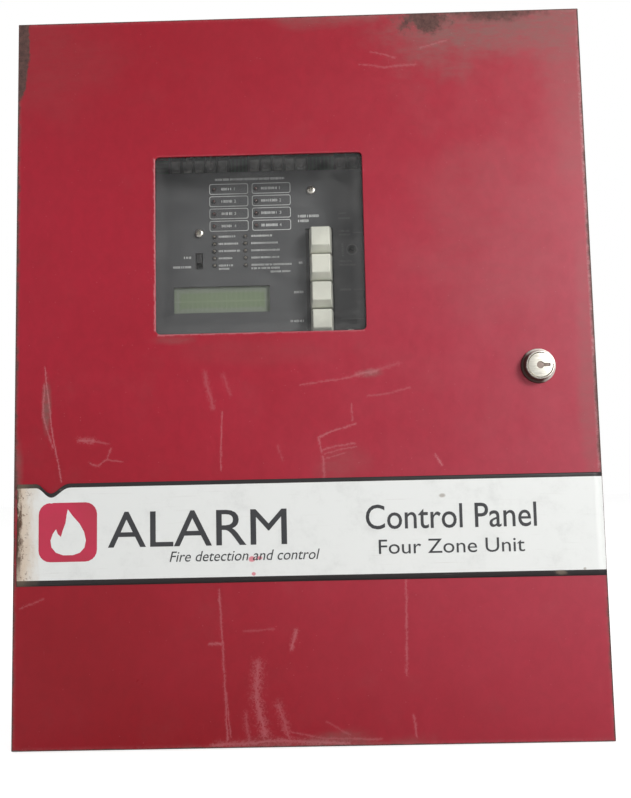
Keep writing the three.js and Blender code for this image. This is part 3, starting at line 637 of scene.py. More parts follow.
def clear_sheet():
    """The window: mostly see-through, with a thin veil of dust and wiping marks."""
    material, n, shader = new_material("clear_window")
    place = n.place()
    wiped = n.noise(n.stretch(place, 0.5, 1, 1), 22, detail=6, roughness=0.7, warp=1.2)
    low, high = tuple(LENS_LOW), tuple(LENS_HIGH)
    edge = n.use(EDGE_WEAR, Place=place, Low=low, High=high, Reach=LENS_OVERLAP + 9.0, Ragged=8.0)["Wear"]
    veil = n.math("MULTIPLY_ADD", edge, 0.04, n.spread(wiped, 0.35, 0.8, 0.03, 0.08))
    specks = n.use(SPECKS, Place=place, Size=0.35, Share=0.12)["Mask"]
    n.feed(shader["Alpha"], n.math("MULTIPLY_ADD", specks, 0.25, veil, clamp=True))
    n.feed(shader["Base Color"], n.mix(wiped, (0.32, 0.33, 0.34), (0.42, 0.42, 0.41)))
    n.feed(shader["Roughness"], n.spread(wiped, 0.3, 0.8, 0.08, 0.3))
    return material


def display_glass():
    """The liquid crystal behind its glass: green-grey, paler towards the rim, with faint character cells."""
    material, n, shader = new_material("display_glass")
    place = n.place()
    low, high = box_mm("lcd_glass")
    edge = n.use(EDGE_WEAR, Place=place, Low=tuple(low), High=tuple(high), Reach=6.5, Ragged=2.0)["Wear"]
    x, _, z = n.parts(place)
    columns = n.math("PINGPONG", n.minus(x, low.x), 1.8)
    rows = n.math("PINGPONG", n.minus(z, low.z + 1), 4.6)
    cell = n.times(n.spread(columns, 0.1, 0.4), n.spread(rows, 0.3, 0.9))
    shade = n.mix(edge, (0.186, 0.234, 0.147), (0.21, 0.24, 0.19))
    n.feed(shader["Base Color"], n.mix(n.times(cell, 0.22), shade, (0.09, 0.13, 0.065)))
    n.feed(shader["Roughness"], n.spread(n.noise(place, 12), 0.3, 0.7, 0.12, 0.24))
    return material


def brushed_finish(name, colour, roughness, along, tarnish, tarnish_colour=(0.2, 0.16, 0.11)):
    """Bare or plated metal with fine lines along one axis and cloudy tarnish."""
    material, n, shader = new_material(name)
    place = n.place()
    lines = n.noise(n.stretch(place, *(0.06 if axis == along else 1.0 for axis in "xyz")), 0.35, detail=3)
    clouds = n.noise(place, 4.5, detail=7, roughness=0.7)
    dirt = n.spread(clouds, 0.5, 0.78, 0, tarnish)
    lined = n.tint(colour, n.spread(lines, 0.2, 0.8, 0.85, 1.08))
    n.feed(shader["Base Color"], n.mix(dirt, lined, tarnish_colour))
    rough = n.math("MULTIPLY_ADD", n.plus(lines, dirt), 0.22, roughness - 0.1, clamp=True)
    n.feed(shader["Roughness"], rough)
    n.feed(shader["Metallic"], n.math("MULTIPLY_ADD", dirt, -0.5, 1.0))
    n.feed(shader["Normal"], n.bump(lines, 0.12, 0.03))
    return material


def board_finish(name, mask_colour, track_colour):
    """Solder mask over tracks: winding lighter lines, plated holes and pale printed marks."""
    material, n, shader = new_material(name)
    place = n.place()
    flat = n.stretch(place, 1, 0, 1)
    x, _, z = n.parts(place)
    lane_x = n.math("PINGPONG", n.plus(x, n.times(n.math("ROUND", n.noise(flat, 30)), 3.1)), 1.6)
    lane_z = n.math("PINGPONG", n.plus(z, n.times(n.math("ROUND", n.noise(flat, 22)), 2.3)), 1.6)
    upright = n.math("GREATER_THAN", n.noise(n.vector("SNAP", flat, (16, 1, 22)), 9), 0.5)
    lane = n.plus(n.times(upright, lane_x), n.times(n.minus(1, upright), lane_z))
    track = n.spread(lane, 0.75, 0.95, 0, 1)
    from_point, _ = n.cells(flat, 5.2)
    pad = n.spread(from_point, 0.1, 0.13, 1, 0)
    shade = n.mix(track, mask_colour, track_colour)
    shade = n.mix(n.times(pad, 0.9), shade, (0.55, 0.53, 0.48))
    settled = n.use(DUST, Place=place, Amount=0.3)["Mask"]
    n.feed(shader["Base Color"], n.mix(settled, shade, DUST_COLOUR))
    n.feed(shader["Roughness"], n.spread(n.noise(place, 18, detail=4), 0.3, 0.7, 0.28, 0.45))
    n.feed(shader["Normal"], n.bump(n.plus(track, pad), 0.35, 0.06))
    return material


def laminated_finish():
    """Stacked steel sheets under varnish, seen as fine lines across the stack."""
    material, n, shader = new_material("laminations")
    place = n.place()
    sheet = n.math("PINGPONG", n.parts(place)[1], 0.5)
    seam = n.spread(sheet, 0.03, 0.16)
    clouds = n.noise(place, 16, detail=6, roughness=0.7)
    varnish = n.mix(clouds, (0.05, 0.043, 0.036), (0.13, 0.105, 0.08))
    n.feed(shader["Base Color"], n.mix(seam, (0.02, 0.017, 0.014), varnish))
    n.feed(shader["Metallic"], n.times(seam, 0.55))
    n.feed(shader["Roughness"], n.spread(clouds, 0.3, 0.7, 0.35, 0.6))
    n.feed(shader["Normal"], n.bump(seam, 0.5, 0.12))
    return material


def film_paper():
    """Yellowed paper with faint creases and a few stains."""
    material, n, shader = new_material("paper")
    place = n.place()
    fibre = n.noise(place, 0.6, detail=4, roughness=0.7)
    stain = n.spread(n.noise(place, 30, detail=6, roughness=0.7), 0.5, 0.8, 0, 0.6)
    shade = n.mix(stain, n.tint((0.72, 0.68, 0.56), n.spread(fibre, 0.3, 0.7, 0.92, 1.04)), (0.5, 0.4, 0.24))
    n.feed(shader["Base Color"], shade)
    n.feed(shader["Roughness"], n.spread(stain, 0, 0.6, 0.7, 0.85))
    creased = n.math("MULTIPLY_ADD", n.noise(place, 18, detail=3), 6, fibre)
    n.feed(shader["Normal"], n.bump(creased, 0.25, 0.05))
    return material


def glass_tube():
    """Thin clear glass, a little dusty."""
    material, n, shader = new_material("fuse_glass")
    place = n.place()
    cloud = n.noise(place, 3, detail=5, roughness=0.7)
    n.feed(shader["Base Color"], n.mix(cloud, (0.5, 0.52, 0.52), (0.66, 0.68, 0.67)))
    n.feed(shader["Alpha"], n.spread(cloud, 0.3, 0.8, 0.16, 0.34))
    n.feed(shader["Roughness"], n.spread(cloud, 0.3, 0.7, 0.04, 0.16))
    return material


RIBBON_PITCH = 1.27


def ribbon_finish():
    """Flat grey cable: a ridge for every wire, and the first one marked red."""
    material, n, shader = new_material("ribbon")
    place = n.place()
    x, _, _ = n.parts(place)
    low = box_mm("ribbon_cable")[0]
    ridge = n.math("PINGPONG", n.minus(x, low.x), RIBBON_PITCH / 2)
    grey = n.mix(n.noise(place, 8, detail=4), (0.27, 0.28, 0.29), (0.34, 0.35, 0.36))
    first = n.math("LESS_THAN", x, low.x + RIBBON_PITCH)
    grooved = n.mix(n.spread(ridge, 0, 0.3, 0.5, 0), grey, (0.1, 0.1, 0.11))
    n.feed(shader["Base Color"], n.mix(first, grooved, (0.4, 0.03, 0.02)))
    n.feed(shader["Roughness"], n.spread(n.noise(place, 5), 0.3, 0.7, 0.38, 0.52))
    n.feed(shader["Normal"], n.bump(ridge, 0.6, 0.3))
    return material


def lock_finish():
    """Worn nickel, with painted shadow and brown grime round the side of the head that faces down and left,
    away from the light.
    """
    material, n, shader = new_material("lock_metal_painted_shadow")
    place = n.place()
    x, _, z = n.parts(n.vector("SUBTRACT", place, (LOCK_CENTRE.x, 0, LOCK_CENTRE.z)))
    out = n.math("SQRT", n.math("MULTIPLY_ADD", x, x, n.times(z, z)))
    side = n.math("DIVIDE", n.math("MULTIPLY_ADD", x, -0.87, n.times(z, -0.5)), out)
    clouds = n.noise(place, 2.6, detail=8, roughness=0.72)
    # Painted shadow and grime: the rim round the head turns dark brown on the side that faces down and left,
    # away from the light.
    ring = n.spread(n.math("MULTIPLY_ADD", n.minus(clouds, 0.5), 2.4, out), 8.6, 10.0)
    shadow_and_grime = n.times(ring, n.spread(n.math("MULTIPLY_ADD", clouds, 0.5, side), 0.0, 0.7, 0.4, 1))
    speckled = n.spread(clouds, 0.5, 0.72, 0, 0.4)
    shade = n.mix(speckled, (0.86, 0.82, 0.76), (0.5, 0.4, 0.34))
    n.feed(shader["Base Color"], n.mix(shadow_and_grime, shade, (0.055, 0.022, 0.016)))
    n.feed(shader["Metallic"], n.math("MULTIPLY_ADD", shadow_and_grime, -0.9, 0.95, clamp=True))
    n.feed(shader["Roughness"], n.math("MULTIPLY_ADD", n.plus(shadow_and_grime, clouds), 0.25, 0.22, clamp=True))
    n.feed(shader["Normal"], n.bump(clouds, 0.15, 0.05))
    return material


def floor_finish():
    """The pale floor, which glows a little so that it is seen as white."""
    material, n, shader = new_material("pale_floor")
    place = n.place()
    n.feed(shader["Base Color"], n.mix(n.noise(place, 700, detail=3), (0.6, 0.6, 0.6), (0.64, 0.64, 0.64)))
    n.feed(shader["Roughness"], n.spread(n.noise(place, 300), 0.2, 0.8, 0.75, 0.9))
    shader["Emission Color"].default_value = (1, 1, 1, 1)
    seen = n.add("LightPath").outputs["Is Camera Ray"]
    n.feed(shader["Emission Strength"], n.times(seen, FLOOR_GLOW))
    return material


DOOR_PAINT = red_enamel("door_enamel", DOOR_LOW, DOOR_HIGH, 1.1, SCRAPES_AND_LIT_EDGES, BARE_AND_SHADED_PATCHES, HAZE_PATCHES, True)
CABINET_PAINT = red_enamel("cabinet_enamel", CABINET_LOW, CABINET_HIGH, 1.2)
WHITE_FILM = film_finish("white_film", (0.725, 0.745, 0.735), 1.0, 0.35)
BLACK_FILM = film_finish("black_film", (0.016, 0.013, 0.014), 0.25, 0.5)
RED_INK = plain_finish("red_ink", (0.5, 0.025, 0.07), 0.4, relief=0.1, second=(0.42, 0.03, 0.06), dust=0)
DARK_INK = plain_finish("dark_ink", (0.028, 0.03, 0.034), 0.4, relief=0.1, second=(0.045, 0.046, 0.05),
                        dust=0)
CLEAR = clear_sheet()
DISPLAY = display_glass()
PLATE_PAINT = plain_finish("plate_paint", (0.062, 0.064, 0.067), 0.55, grain=0.8, relief=0.02, dust=0.08,
                           second=(0.056, 0.057, 0.06))
WHITE_INK = plain_finish("white_ink", (0.6, 0.61, 0.6), 0.6, relief=0.1, second=(0.3, 0.31, 0.3), dust=0)
DIM_INK = plain_finish("dim_ink", (0.16, 0.165, 0.165), 0.6, relief=0.1, dust=0)
KEY_PLASTIC = plain_finish("key_plastic", (0.69, 0.7, 0.61), 0.42, grain=0.4, second=(0.55, 0.56, 0.49),
                           dust=0.05)
BLACK_PLASTIC = plain_finish("black_plastic", (0.016, 0.016, 0.017), 0.5, second=(0.022, 0.021, 0.021))
GREY_PLASTIC = plain_finish("grey_plastic", (0.2, 0.205, 0.2), 0.5)
WHITE_PLASTIC = plain_finish("white_plastic", (0.62, 0.61, 0.55), 0.45)
NICKEL = brushed_finish("worn_nickel", (0.72, 0.69, 0.62), 0.26, "x", 0.65)
KEYWAY = plain_finish("keyway_brass", (0.3, 0.24, 0.21), 0.5, metal=0.5, grain=0.3, second=(0.1, 0.07, 0.06))
LOCK_METAL = brushed_finish("lock_metal", (0.86, 0.83, 0.74), 0.3, "x", 0.45, (0.4, 0.33, 0.24))
ZINC = brushed_finish("zinc_plate", (0.5, 0.49, 0.46), 0.4, "z", 0.5)
BRIGHT_ZINC = plain_finish("bright_zinc", (0.86, 0.86, 0.83), 0.42, metal=0.35, grain=0.4, dust=0.05)
ALUMINIUM = brushed_finish("aluminium", (0.6, 0.6, 0.61), 0.38, "z", 0.3)
GREEN_BOARD = board_finish("green_board", (0.012, 0.07, 0.03), (0.022, 0.115, 0.048))
LAMINATIONS = laminated_finish()
COIL_TAPE = plain_finish("coil_tape", (0.6, 0.42, 0.07), 0.42, second=(0.45, 0.3, 0.05), relief=0.15)
BATTERY_CASE = plain_finish("battery_case", (0.032, 0.034, 0.038), 0.5, grain=0.6, relief=0.4)
SLEEVE = plain_finish("capacitor_sleeve", (0.02, 0.03, 0.07), 0.3, relief=0.05)
LAMP_RED = plain_finish("lamp_red", (0.09, 0.04, 0.036), 0.25, relief=0.05, coat=0.4, dust=0.05)
LAMP_AMBER = plain_finish("lamp_amber", (0.14, 0.12, 0.09), 0.25, relief=0.05, coat=0.4, dust=0.05)
RED_WIRE = plain_finish("red_wire", (0.4, 0.022, 0.016), 0.42, relief=0.1)
BLACK_WIRE = plain_finish("black_wire", (0.014, 0.014, 0.015), 0.42, relief=0.1)
BLUE_WIRE = plain_finish("blue_wire", (0.04, 0.15, 0.36), 0.42, relief=0.1)
PAPER = film_paper()
GLASS_TUBE = glass_tube()
RIBBON = ribbon_finish()
RESISTOR = plain_finish("resistor_body", (0.46, 0.33, 0.18), 0.4, second=(0.38, 0.26, 0.13), grain=0.2)
CERAMIC = plain_finish("ceramic_disc", (0.5, 0.2, 0.03), 0.35, second=(0.42, 0.15, 0.02), grain=0.3)
BLUE_BODY = plain_finish("film_capacitor", (0.03, 0.09, 0.3), 0.3, grain=0.3)
BRASS = brushed_finish("brass", (0.62, 0.45, 0.18), 0.35, "z", 0.4)
COPPER = brushed_finish("tinned_copper", (0.7, 0.66, 0.6), 0.35, "y", 0.3)


# ------------------------------------------------------------------------------------ mesh making
def finish_mesh(name, bm, materials, body, smooth_under=40, instead_of=()):
    """Turns a mesh drawn in millimetres into a piece that rides on a body and has a slot for its finish."""
    bmesh.ops.scale(bm, vec=(MM, MM, MM), verts=bm.verts)
    bmesh.ops.recalc_face_normals(bm, faces=bm.faces)
    data = bpy.data.meshes.new(name)
    bm.to_mesh(data)
    bm.free()
    materials = materials if isinstance(materials, (list, tuple)) else [materials]
    for material in materials:
        data.materials.append(material)
    piece = bpy.data.objects.new(name, data)
    bpy.context.scene.collection.objects.link(piece)
    data.shade_smooth()
    data.set_sharp_from_angle(angle=math.radians(smooth_under))
    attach(piece, body)
    if instead_of:
        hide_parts(*instead_of)
    return piece


def add_block(bm, x, y, z, rounding=0.0, steps=2, material=0):
    """A box between two limits on each axis, with rounded edges."""
    made = bmesh.ops.create_cube(bm, size=1)
    verts = made["verts"]
    middle = Vector([(a + b) / 2 for a, b in (x, y, z)])
    size = [b - a for a, b in (x, y, z)]
    bmesh.ops.scale(bm, vec=size, verts=verts)
    bmesh.ops.translate(bm, vec=middle, verts=verts)
    faces = {face for vert in verts for face in vert.link_faces}
    if rounding:
        edges = list({edge for vert in verts for edge in vert.link_edges})
        done = bmesh.ops.bevel(bm, geom=edges, offset=min(rounding, min(size) * 0.45), segments=steps,
                               affect="EDGES", profile=0.5, clamp_overlap=True)
        rounded = {face for vert in done["verts"] for face in vert.link_faces}
        faces = rounded | {face for face in faces if face.is_valid}
    for face in faces:
        face.material_index = material
    return faces


def around(middle, length):
    """The two limits of a length that is centred on a middle."""
    return middle - length / 2, middle + length / 2


AXES = {
    "x": Matrix(((0, 0, 1), (1, 0, 0), (0, 1, 0))),
    "y": Matrix(((0, 1, 0), (0, 0, 1), (1, 0, 0))),
    "z": Matrix.Identity(3),
}


def add_turned(bm, profile, centre, axis="y", sides=32, material=0):
    """A body turned round an axis from [radius, place along the axis] points. A radius of 0 closes an end."""
    turn = AXES[axis]
    rings = []
    for radius, along in profile:
        if radius == 0:
            rings.append([bm.verts.new(Vector(centre) + turn @ Vector((0, 0, along)))])
            continue
        angles = (2 * math.pi * i / sides for i in range(sides))
        circle = (Vector((radius * math.cos(a), radius * math.sin(a), along)) for a in angles)
        rings.append([bm.verts.new(Vector(centre) + turn @ point) for point in circle])
    faces = []
    for first, second in zip(rings, rings[1:]):
        for i in range(sides):
            j = (i + 1) % sides
            corners = [first[i % len(first)], first[j % len(first)]]
            corners += [second[j % len(second)], second[i % len(second)]]
            corners = list(dict.fromkeys(corners))
            if len(corners) > 2:
                faces.append(bm.faces.new(corners))
    if profile[0] == profile[-1] and profile[0][0]:
        bmesh.ops.remove_doubles(bm, verts=rings[0] + rings[-1], dist=1e-5)
    for face in faces:
        if face.is_valid:
            face.material_index = material
    return faces


def rounded_outline(x, z, width, height, radius, steps=5):
    """Points (x, z) round a rectangle with round corners."""
    points = []
    for corner, (sx, sz) in enumerate(((1, 1), (-1, 1), (-1, -1), (1, -1))):
        for i in range(steps + 1):
            angle = math.pi / 2 * (corner + i / steps)
            points.append((x + sx * (width / 2 - radius) + radius * math.cos(angle),
                           z + sz * (height / 2 - radius) + radius * math.sin(angle)))
    return points


def add_ring(bm, outer, inner, front, back, material=0):
    """A flat frame between two outlines with the same number of points."""
    loops = [[bm.verts.new((x, y, z)) for x, z in outline]
             for outline, y in ((outer, front), (inner, front), (inner, back), (outer, back))]
    for first, second in zip(loops, loops[1:] + loops[:1]):
        for i in range(len(first)):
            j = (i + 1) % len(first)
            face = bm.faces.new((first[i], first[j], second[j], second[i]))
            face.material_index = material


def add_slab(bm, outline, front, back, material=0):
    """A flat piece of any outline."""
    near = [bm.verts.new((x, front, z)) for x, z in outline]
    far = [bm.verts.new((x, back, z)) for x, z in outline]
    faces = [bm.faces.new(near), bm.faces.new(far[::-1])]
    for i in range(len(near)):
        j = (i + 1) % len(near)
        faces.append(bm.faces.new((near[i], near[j], far[j], far[i])))
    for face in faces:
        face.material_index = material


def soften(node, width, steps=2):
    """Rounds a CAD node's sharp edges, after its flat faces are made whole."""
    piece = NODES[node]
    weld = piece.modifiers.new("weld", "WELD")
    weld.merge_threshold = 1e-6
    whole = piece.modifiers.new("whole flat faces", "DECIMATE")
    whole.decimate_type = "DISSOLVE"
    whole.angle_limit = math.radians(0.5)
    bevel = piece.modifiers.new("round edges", "BEVEL")
    bevel.width = width * MM
    bevel.segments = steps
    bevel.limit_method = "ANGLE"
    bevel.angle_limit = math.radians(35)
    bevel.harden_normals = True


def carve(piece, name, tool):
    """Cuts a tool's shape out of a piece."""
    bmesh.ops.scale(tool, vec=(MM, MM, MM), verts=tool.verts)
    bmesh.ops.recalc_face_normals(tool, faces=tool.faces)
    data = bpy.data.meshes.new(name)
    tool.to_mesh(data)
    tool.free()
    cutter = bpy.data.objects.new(name, data)
    bpy.context.scene.collection.objects.link(cutter)
    modifier = piece.modifiers.new("cut", "BOOLEAN")
    modifier.object = cutter
    modifier.solver = "EXACT"
    bpy.context.view_layer.update()
    cut = bpy.data.meshes.new_from_object(piece.evaluated_get(bpy.context.evaluated_depsgraph_get()))
    piece.modifiers.remove(modifier)
    piece.data = cut
    cut.set_sharp_from_angle(angle=math.radians(30))
    bpy.data.objects.remove(cutter)


def paint(node, material):
    """Gives a CAD node its finish."""
    piece = NODES[node]
    piece.data.materials.clear()
    piece.data.materials.append(material)


# ------------------------------------------------------------------------------------ floor
FLOOR_REACH = 4000
FLOOR_GAP = 0.5


def floor():
    """A wide floor just under the cabinet, which belongs to the set and not to the part."""
    bm = bmesh.new()
    half, level = FLOOR_REACH, DOOR_LOW.z - FLOOR_GAP
    corners = (-half, -half), (half, -half), (half, half), (-half, half)
    bm.faces.new([bm.verts.new((x, y, level)) for x, y in corners])
    bmesh.ops.scale(bm, vec=(MM, MM, MM), verts=bm.verts)
    data = bpy.data.meshes.new("floor")
    bm.to_mesh(data)
    bm.free()
    data.materials.append(floor_finish())
    piece = bpy.data.objects.new("floor", data)
    bpy.context.scene.collection.objects.link(piece)


# ------------------------------------------------------------------------------------ door
NOTCH = {"centre": -173.4, "half_width": 12.5, "depth": 6.6}
STRIPE_TOP = 2.8
STRIPE_BOTTOM = 3.8
FILM = 0.2
FINE_STEP = 0.8  # between the film's points near the tear
CURL = {"height": 1.1, "reach": 1.6}
CREASES = {"height": 0.2, "width": 0.6, "depths": (4.2, 5.9)}


def notch_depth(x):
    """How far the film's torn top edge dips at x."""
    across = (x - NOTCH["centre"]) / NOTCH["half_width"]
    if abs(across) > 1:
        return 0
    lean = across + 0.12 * (1 - across * across)
    return NOTCH["depth"] * math.cos(math.pi / 2 * lean) ** 2.4


def label_film():
    """The label: a film with a black stripe along its top and bottom, torn and curled at one place."""
    fine = [BAND_LOW.x + FINE_STEP * i for i in range(60)]
    coarse = [fine[-1] + (BAND_HIGH.x - fine[-1]) * i / 60 for i in range(1, 61)]
    columns = fine + coarse
    white_low = BAND_LOW.z + STRIPE_BOTTOM
    bm = bmesh.new()
    grid = []
    for x in columns:
        top = BAND_HIGH.z - notch_depth(x)
        heights = [top, top - STRIPE_TOP / 2, top - STRIPE_TOP]
        heights += [top - STRIPE_TOP - FINE_STEP * i for i in range(1, 11)]
        under = heights[-1]
        heights += [under + (white_low - under) * i / 10 for i in range(1, 11)] + [BAND_LOW.z]
        line = []
        for z in heights:
            near = math.exp(-((x - NOTCH["centre"]) / (NOTCH["half_width"] * 0.9)) ** 4)
            depth = top - z
            curl = CURL["height"] * near * math.exp(-(depth / CURL["reach"]) ** 2)
            folds = [math.exp(-((depth - at) / CREASES["width"]) ** 2) for at in CREASES["depths"]]
            crease = CREASES["height"] * near * sum(folds)
            wave = 0.04 * noise.noise(Vector((x * 0.05, 3, z * 0.08)))
            left = x + (0.9 * noise.noise(Vector((1, 2, z * 0.3))) if x == columns[0] else 0)
            line.append(bm.verts.new((left, DOOR_FRONT - FILM - curl - crease + wave, z)))
        grid.append(line)
    last = len(grid[0]) - 2
    for first, second in zip(grid, grid[1:]):
        for row in range(last + 1):
            face = bm.faces.new((first[row], second[row], second[row + 1], first[row + 1]))
            face.material_index = 1 if row < 2 or row == last else 0
    piece = finish_mesh("label_film", bm, [WHITE_FILM, BLACK_FILM], "door", 60, ["label_band"])
    thicken = piece.modifiers.new("thickness", "SOLIDIFY")
    thicken.thickness = FILM * MM
    thicken.offset = 0


def words(text, x, z, front, material, name=None, bold=0.0, slant=0.0, depth=0.05, into=None):
    """Lettering that fills the x and z ranges and stands just proud of front."""
    curve = bpy.data.curves.new("lettering", "FONT")
    curve.body = text
    curve.offset = bold
    curve.shear = slant
    curve.resolution_u = 4
    source = bpy.data.objects.new("lettering", curve)
    bpy.context.scene.collection.objects.link(source)
    bpy.context.view_layer.update()
    data = bpy.data.meshes.new_from_object(source.evaluated_get(bpy.context.evaluated_depsgraph_get()))
    bpy.data.objects.remove(source)
    letters = bmesh.new()
    letters.from_mesh(data)
    bpy.data.meshes.remove(data)
    bmesh.ops.remove_doubles(letters, verts=letters.verts, dist=1e-5)
    low = [min(v.co[i] for v in letters.verts) for i in (0, 1)]
    high = [max(v.co[i] for v in letters.verts) for i in (0, 1)]
    for vert in letters.verts:
        across = (vert.co.x - low[0]) / (high[0] - low[0])
        up = (vert.co.y - low[1]) / (high[1] - low[1])
        vert.co = (x[0] + across * (x[1] - x[0]), front, z[0] + up * (z[1] - z[0]))
    drawn = bmesh.ops.extrude_face_region(letters, geom=letters.faces[:])
    moved = [item for item in drawn["geom"] if isinstance(item, bmesh.types.BMVert)]
    bmesh.ops.translate(letters, vec=(0, -depth, 0), verts=moved)
    if into is None:
        return finish_mesh(name, letters, material, "door")
    for face in letters.faces:
        face.material_index = material
    spare = bpy.data.meshes.new("spare")
    letters.to_mesh(spare)
    letters.free()
    into.from_mesh(spare)
    bpy.data.meshes.remove(spare)
    return None


def flame_outline(x, z, height):
    """A flame: a point at the top, two tongues, and a round foot."""
    shape = [(0.0, 1.0), (0.1, 0.86), (0.26, 0.68), (0.36, 0.5), (0.4, 0.32), (0.37, 0.16), (0.27, 0.05),
             (0.12, 0.0), (-0.1, 0.0), (-0.26, 0.06), (-0.36, 0.18), (-0.38, 0.33), (-0.33, 0.47),
             (-0.26, 0.57), (-0.22, 0.46), (-0.15, 0.4), (-0.11, 0.54), (-0.05, 0.7), (-0.03, 0.86)]
    return [(x + px * height, z + (pz - 0.5) * height) for px, pz in shape]


LABEL_FACE = -0.36  # how far printing on the label stands in front of the door
EMBLEM = (-163.5, -109.5)


def label_printing():
    """An emblem of a flame on a red tile, and plain words."""
    front = DOOR_FRONT + LABEL_FACE
    bm = bmesh.new()
    add_slab(bm, rounded_outline(*EMBLEM, 40, 40, 8), front, front + 0.12)
    finish_mesh("label_emblem_tile", bm, RED_INK, "door")
    bm = bmesh.new()
    add_slab(bm, flame_outline(*EMBLEM, 31), front - 0.08, front)
    finish_mesh("label_emblem_flame", bm, WHITE_FILM, "door")
    words("ALARM", (-136, -14), (-120.5, -96.5), front, DARK_INK, "label_word_alarm")
    words("Fire detection and control", (-94, 8), (-131, -124), front, DARK_INK, "label_words_small_left",
          slant=0.25)
    words("Control Panel", (39.7, 155.3), (-112, -95.3), front, DARK_INK, "label_words_control_panel",
          bold=0.004)
    words("Four Zone Unit", (48, 146.5), (-128.6, -119), front, DARK_INK, "label_words_small_right")


def lock_head():
    """The lock's head: a flange, a stepped rim and the bore that holds the plug."""
    x, z = LOCK_CENTRE.x, LOCK_CENTRE.z
    out, back = LOCK_LOW.y, LOCK_HIGH.y
    thread = [(6.3, back), (9.4, back), (9.4, DOOR_FRONT)]
    flange = [(11.9, DOOR_FRONT), (12.0, DOOR_FRONT - 0.5), (11.7, DOOR_FRONT - 1.6)]
    neck = [(10.6, DOOR_FRONT - 2.0), (10.3, DOOR_FRONT - 2.6)]
    rim = [(10.2, out + 1.2), (9.9, out + 0.4), (9.4, out + 0.05), (8.9, out)]
    bore = [(8.7, out + 0.5), (8.7, out + 4), (6.3, out + 4), (6.3, back)]
    bm = bmesh.new()
    add_turned(bm, thread + flange + neck + rim + bore, (x, 0, z), sides=64)
    finish_mesh("lock_head", bm, lock_finish(), "door", 30, ["lock_barrel"])


def lock_plug():
    """The turning plug: a face disc cut by a round and slotted keyway, with the cam's square behind."""
    x, z = LOCK_CENTRE.x, LOCK_CENTRE.z
    low, high = box_mm("lock_plug")
    front = low.y
    shank = [(0, high.y - 2.4), (6, high.y - 2.4), (6, front + 3.4)]
    disc = [(8.4, front + 3.4), (8.4, front + 0.5), (8.2, front + 0.12), (7.8, front), (0, front)]
    bm = bmesh.new()
    add_turned(bm, shank + disc, (x, 0, z), sides=64)
    piece = finish_mesh("lock_face", bm, LOCK_METAL, "lock", 30, ["lock_plug"])
    cutter = bmesh.new()
    hole = [(0, front - 1), (2.5, front - 1), (2.5, front + 2.6), (0, front + 2.6)]
    add_turned(cutter, hole, (x, 0, z), sides=32)
    slot = bmesh.new()
    add_block(slot, (x, x + 6.7), (front - 1, front + 2.6), around(z, 2.3), 0.3)
    for tool_name, tool in (("keyway_round", cutter), ("keyway_slot", slot)):
        carve(piece, tool_name, tool)
    bm = bmesh.new()
    sunk = [(0, front + 2.5), (2.45, front + 2.5), (2.45, front + 0.5), (1.2, front + 0.35), (0, front + 0.4)]
    add_turned(bm, sunk, (x, 0, z), sides=32)
    add_block(bm, (x + 2.3, x + 6.6), (front + 0.6, front + 2.5), around(z, 2.2), 0.2)
    finish_mesh("keyway", bm, KEYWAY, "lock", 30)
    bm = bmesh.new()
    add_block(bm, around(x, 6), (high.y - 2.6, high.y), around(z, 6), 0.2)
    finish_mesh("lock_square", bm, NICKEL, "lock")


def door_pieces():
    """Everything that swings with the door, except the notice behind it."""
    paint("door_panel", DOOR_PAINT)
    soften("door_panel", 0.8)
    paint("window_lens", CLEAR)
    for node in ("window_retainer", "lock_nut", "lock_cam", "lock_cam_screw"):
        paint(node, ZINC)
        soften(node, 0.3)
    label_film()
    label_printing()
    lock_head()
    lock_plug()


# ------------------------------------------------------------------------------------ display plate
PRINT = 0.06  # how far printing stands proud of its sheet


def greeked(bm, rng, x, z, height, material=0, front=None):
    """Marks that stand for a run of small print from x[0] to x[1], centred on z."""
    front = PLATE_FRONT if front is None else front
    at = x[0]
    while at < x[1] - 0.4:
        wide = min(rng.uniform(0.5, 0.95), x[1] - at)
        tall = height * rng.choice((1.0, 1.0, 0.85))
        add_block(bm, (at, at + wide * 0.8), (front - PRINT, front), around(z, tall), material=material)
        at += wide + (rng.uniform(0.5, 0.8) if rng.random() < 0.16 else 0.16)


ZONE_ROWS = [138.7 - 9.37 * row for row in range(4)]
STATUS_ROWS = [102.6 - 5.45 * row for row in range(5)]
ZONE_COLUMNS = ((-68.7, -39.8), (-37.0, -8.3))
STATUS_LEFT, STATUS_RIGHT = -62.2, -38
SMALL_PRINT = 1.5
# Single lines of marks: left end, right end, height on the plate, height of the marks.
SINGLE_LINES = ((STATUS_RIGHT, -17, STATUS_ROWS[-1] - 2.6, SMALL_PRINT),
                (-24, -9, STATUS_ROWS[-1] - 5.4, SMALL_PRINT), (-3, 13, 116.6, 2.0), (-3, 6, 113.0, 2.0))
# Fainter lines of marks: height on the plate, and length.
DIM_LINES_LEFT = 27
DIM_LINES = ((118, 6), (114.2, 9), (104.5, 8), (101.8, 9), (81.8, 9), (79, 12), (60.5, 8), (38.6, 10))
KEY_RULES = (103.2, 60.5, 38.6)
SOUNDER_CENTRE = (36.3, 90.5)


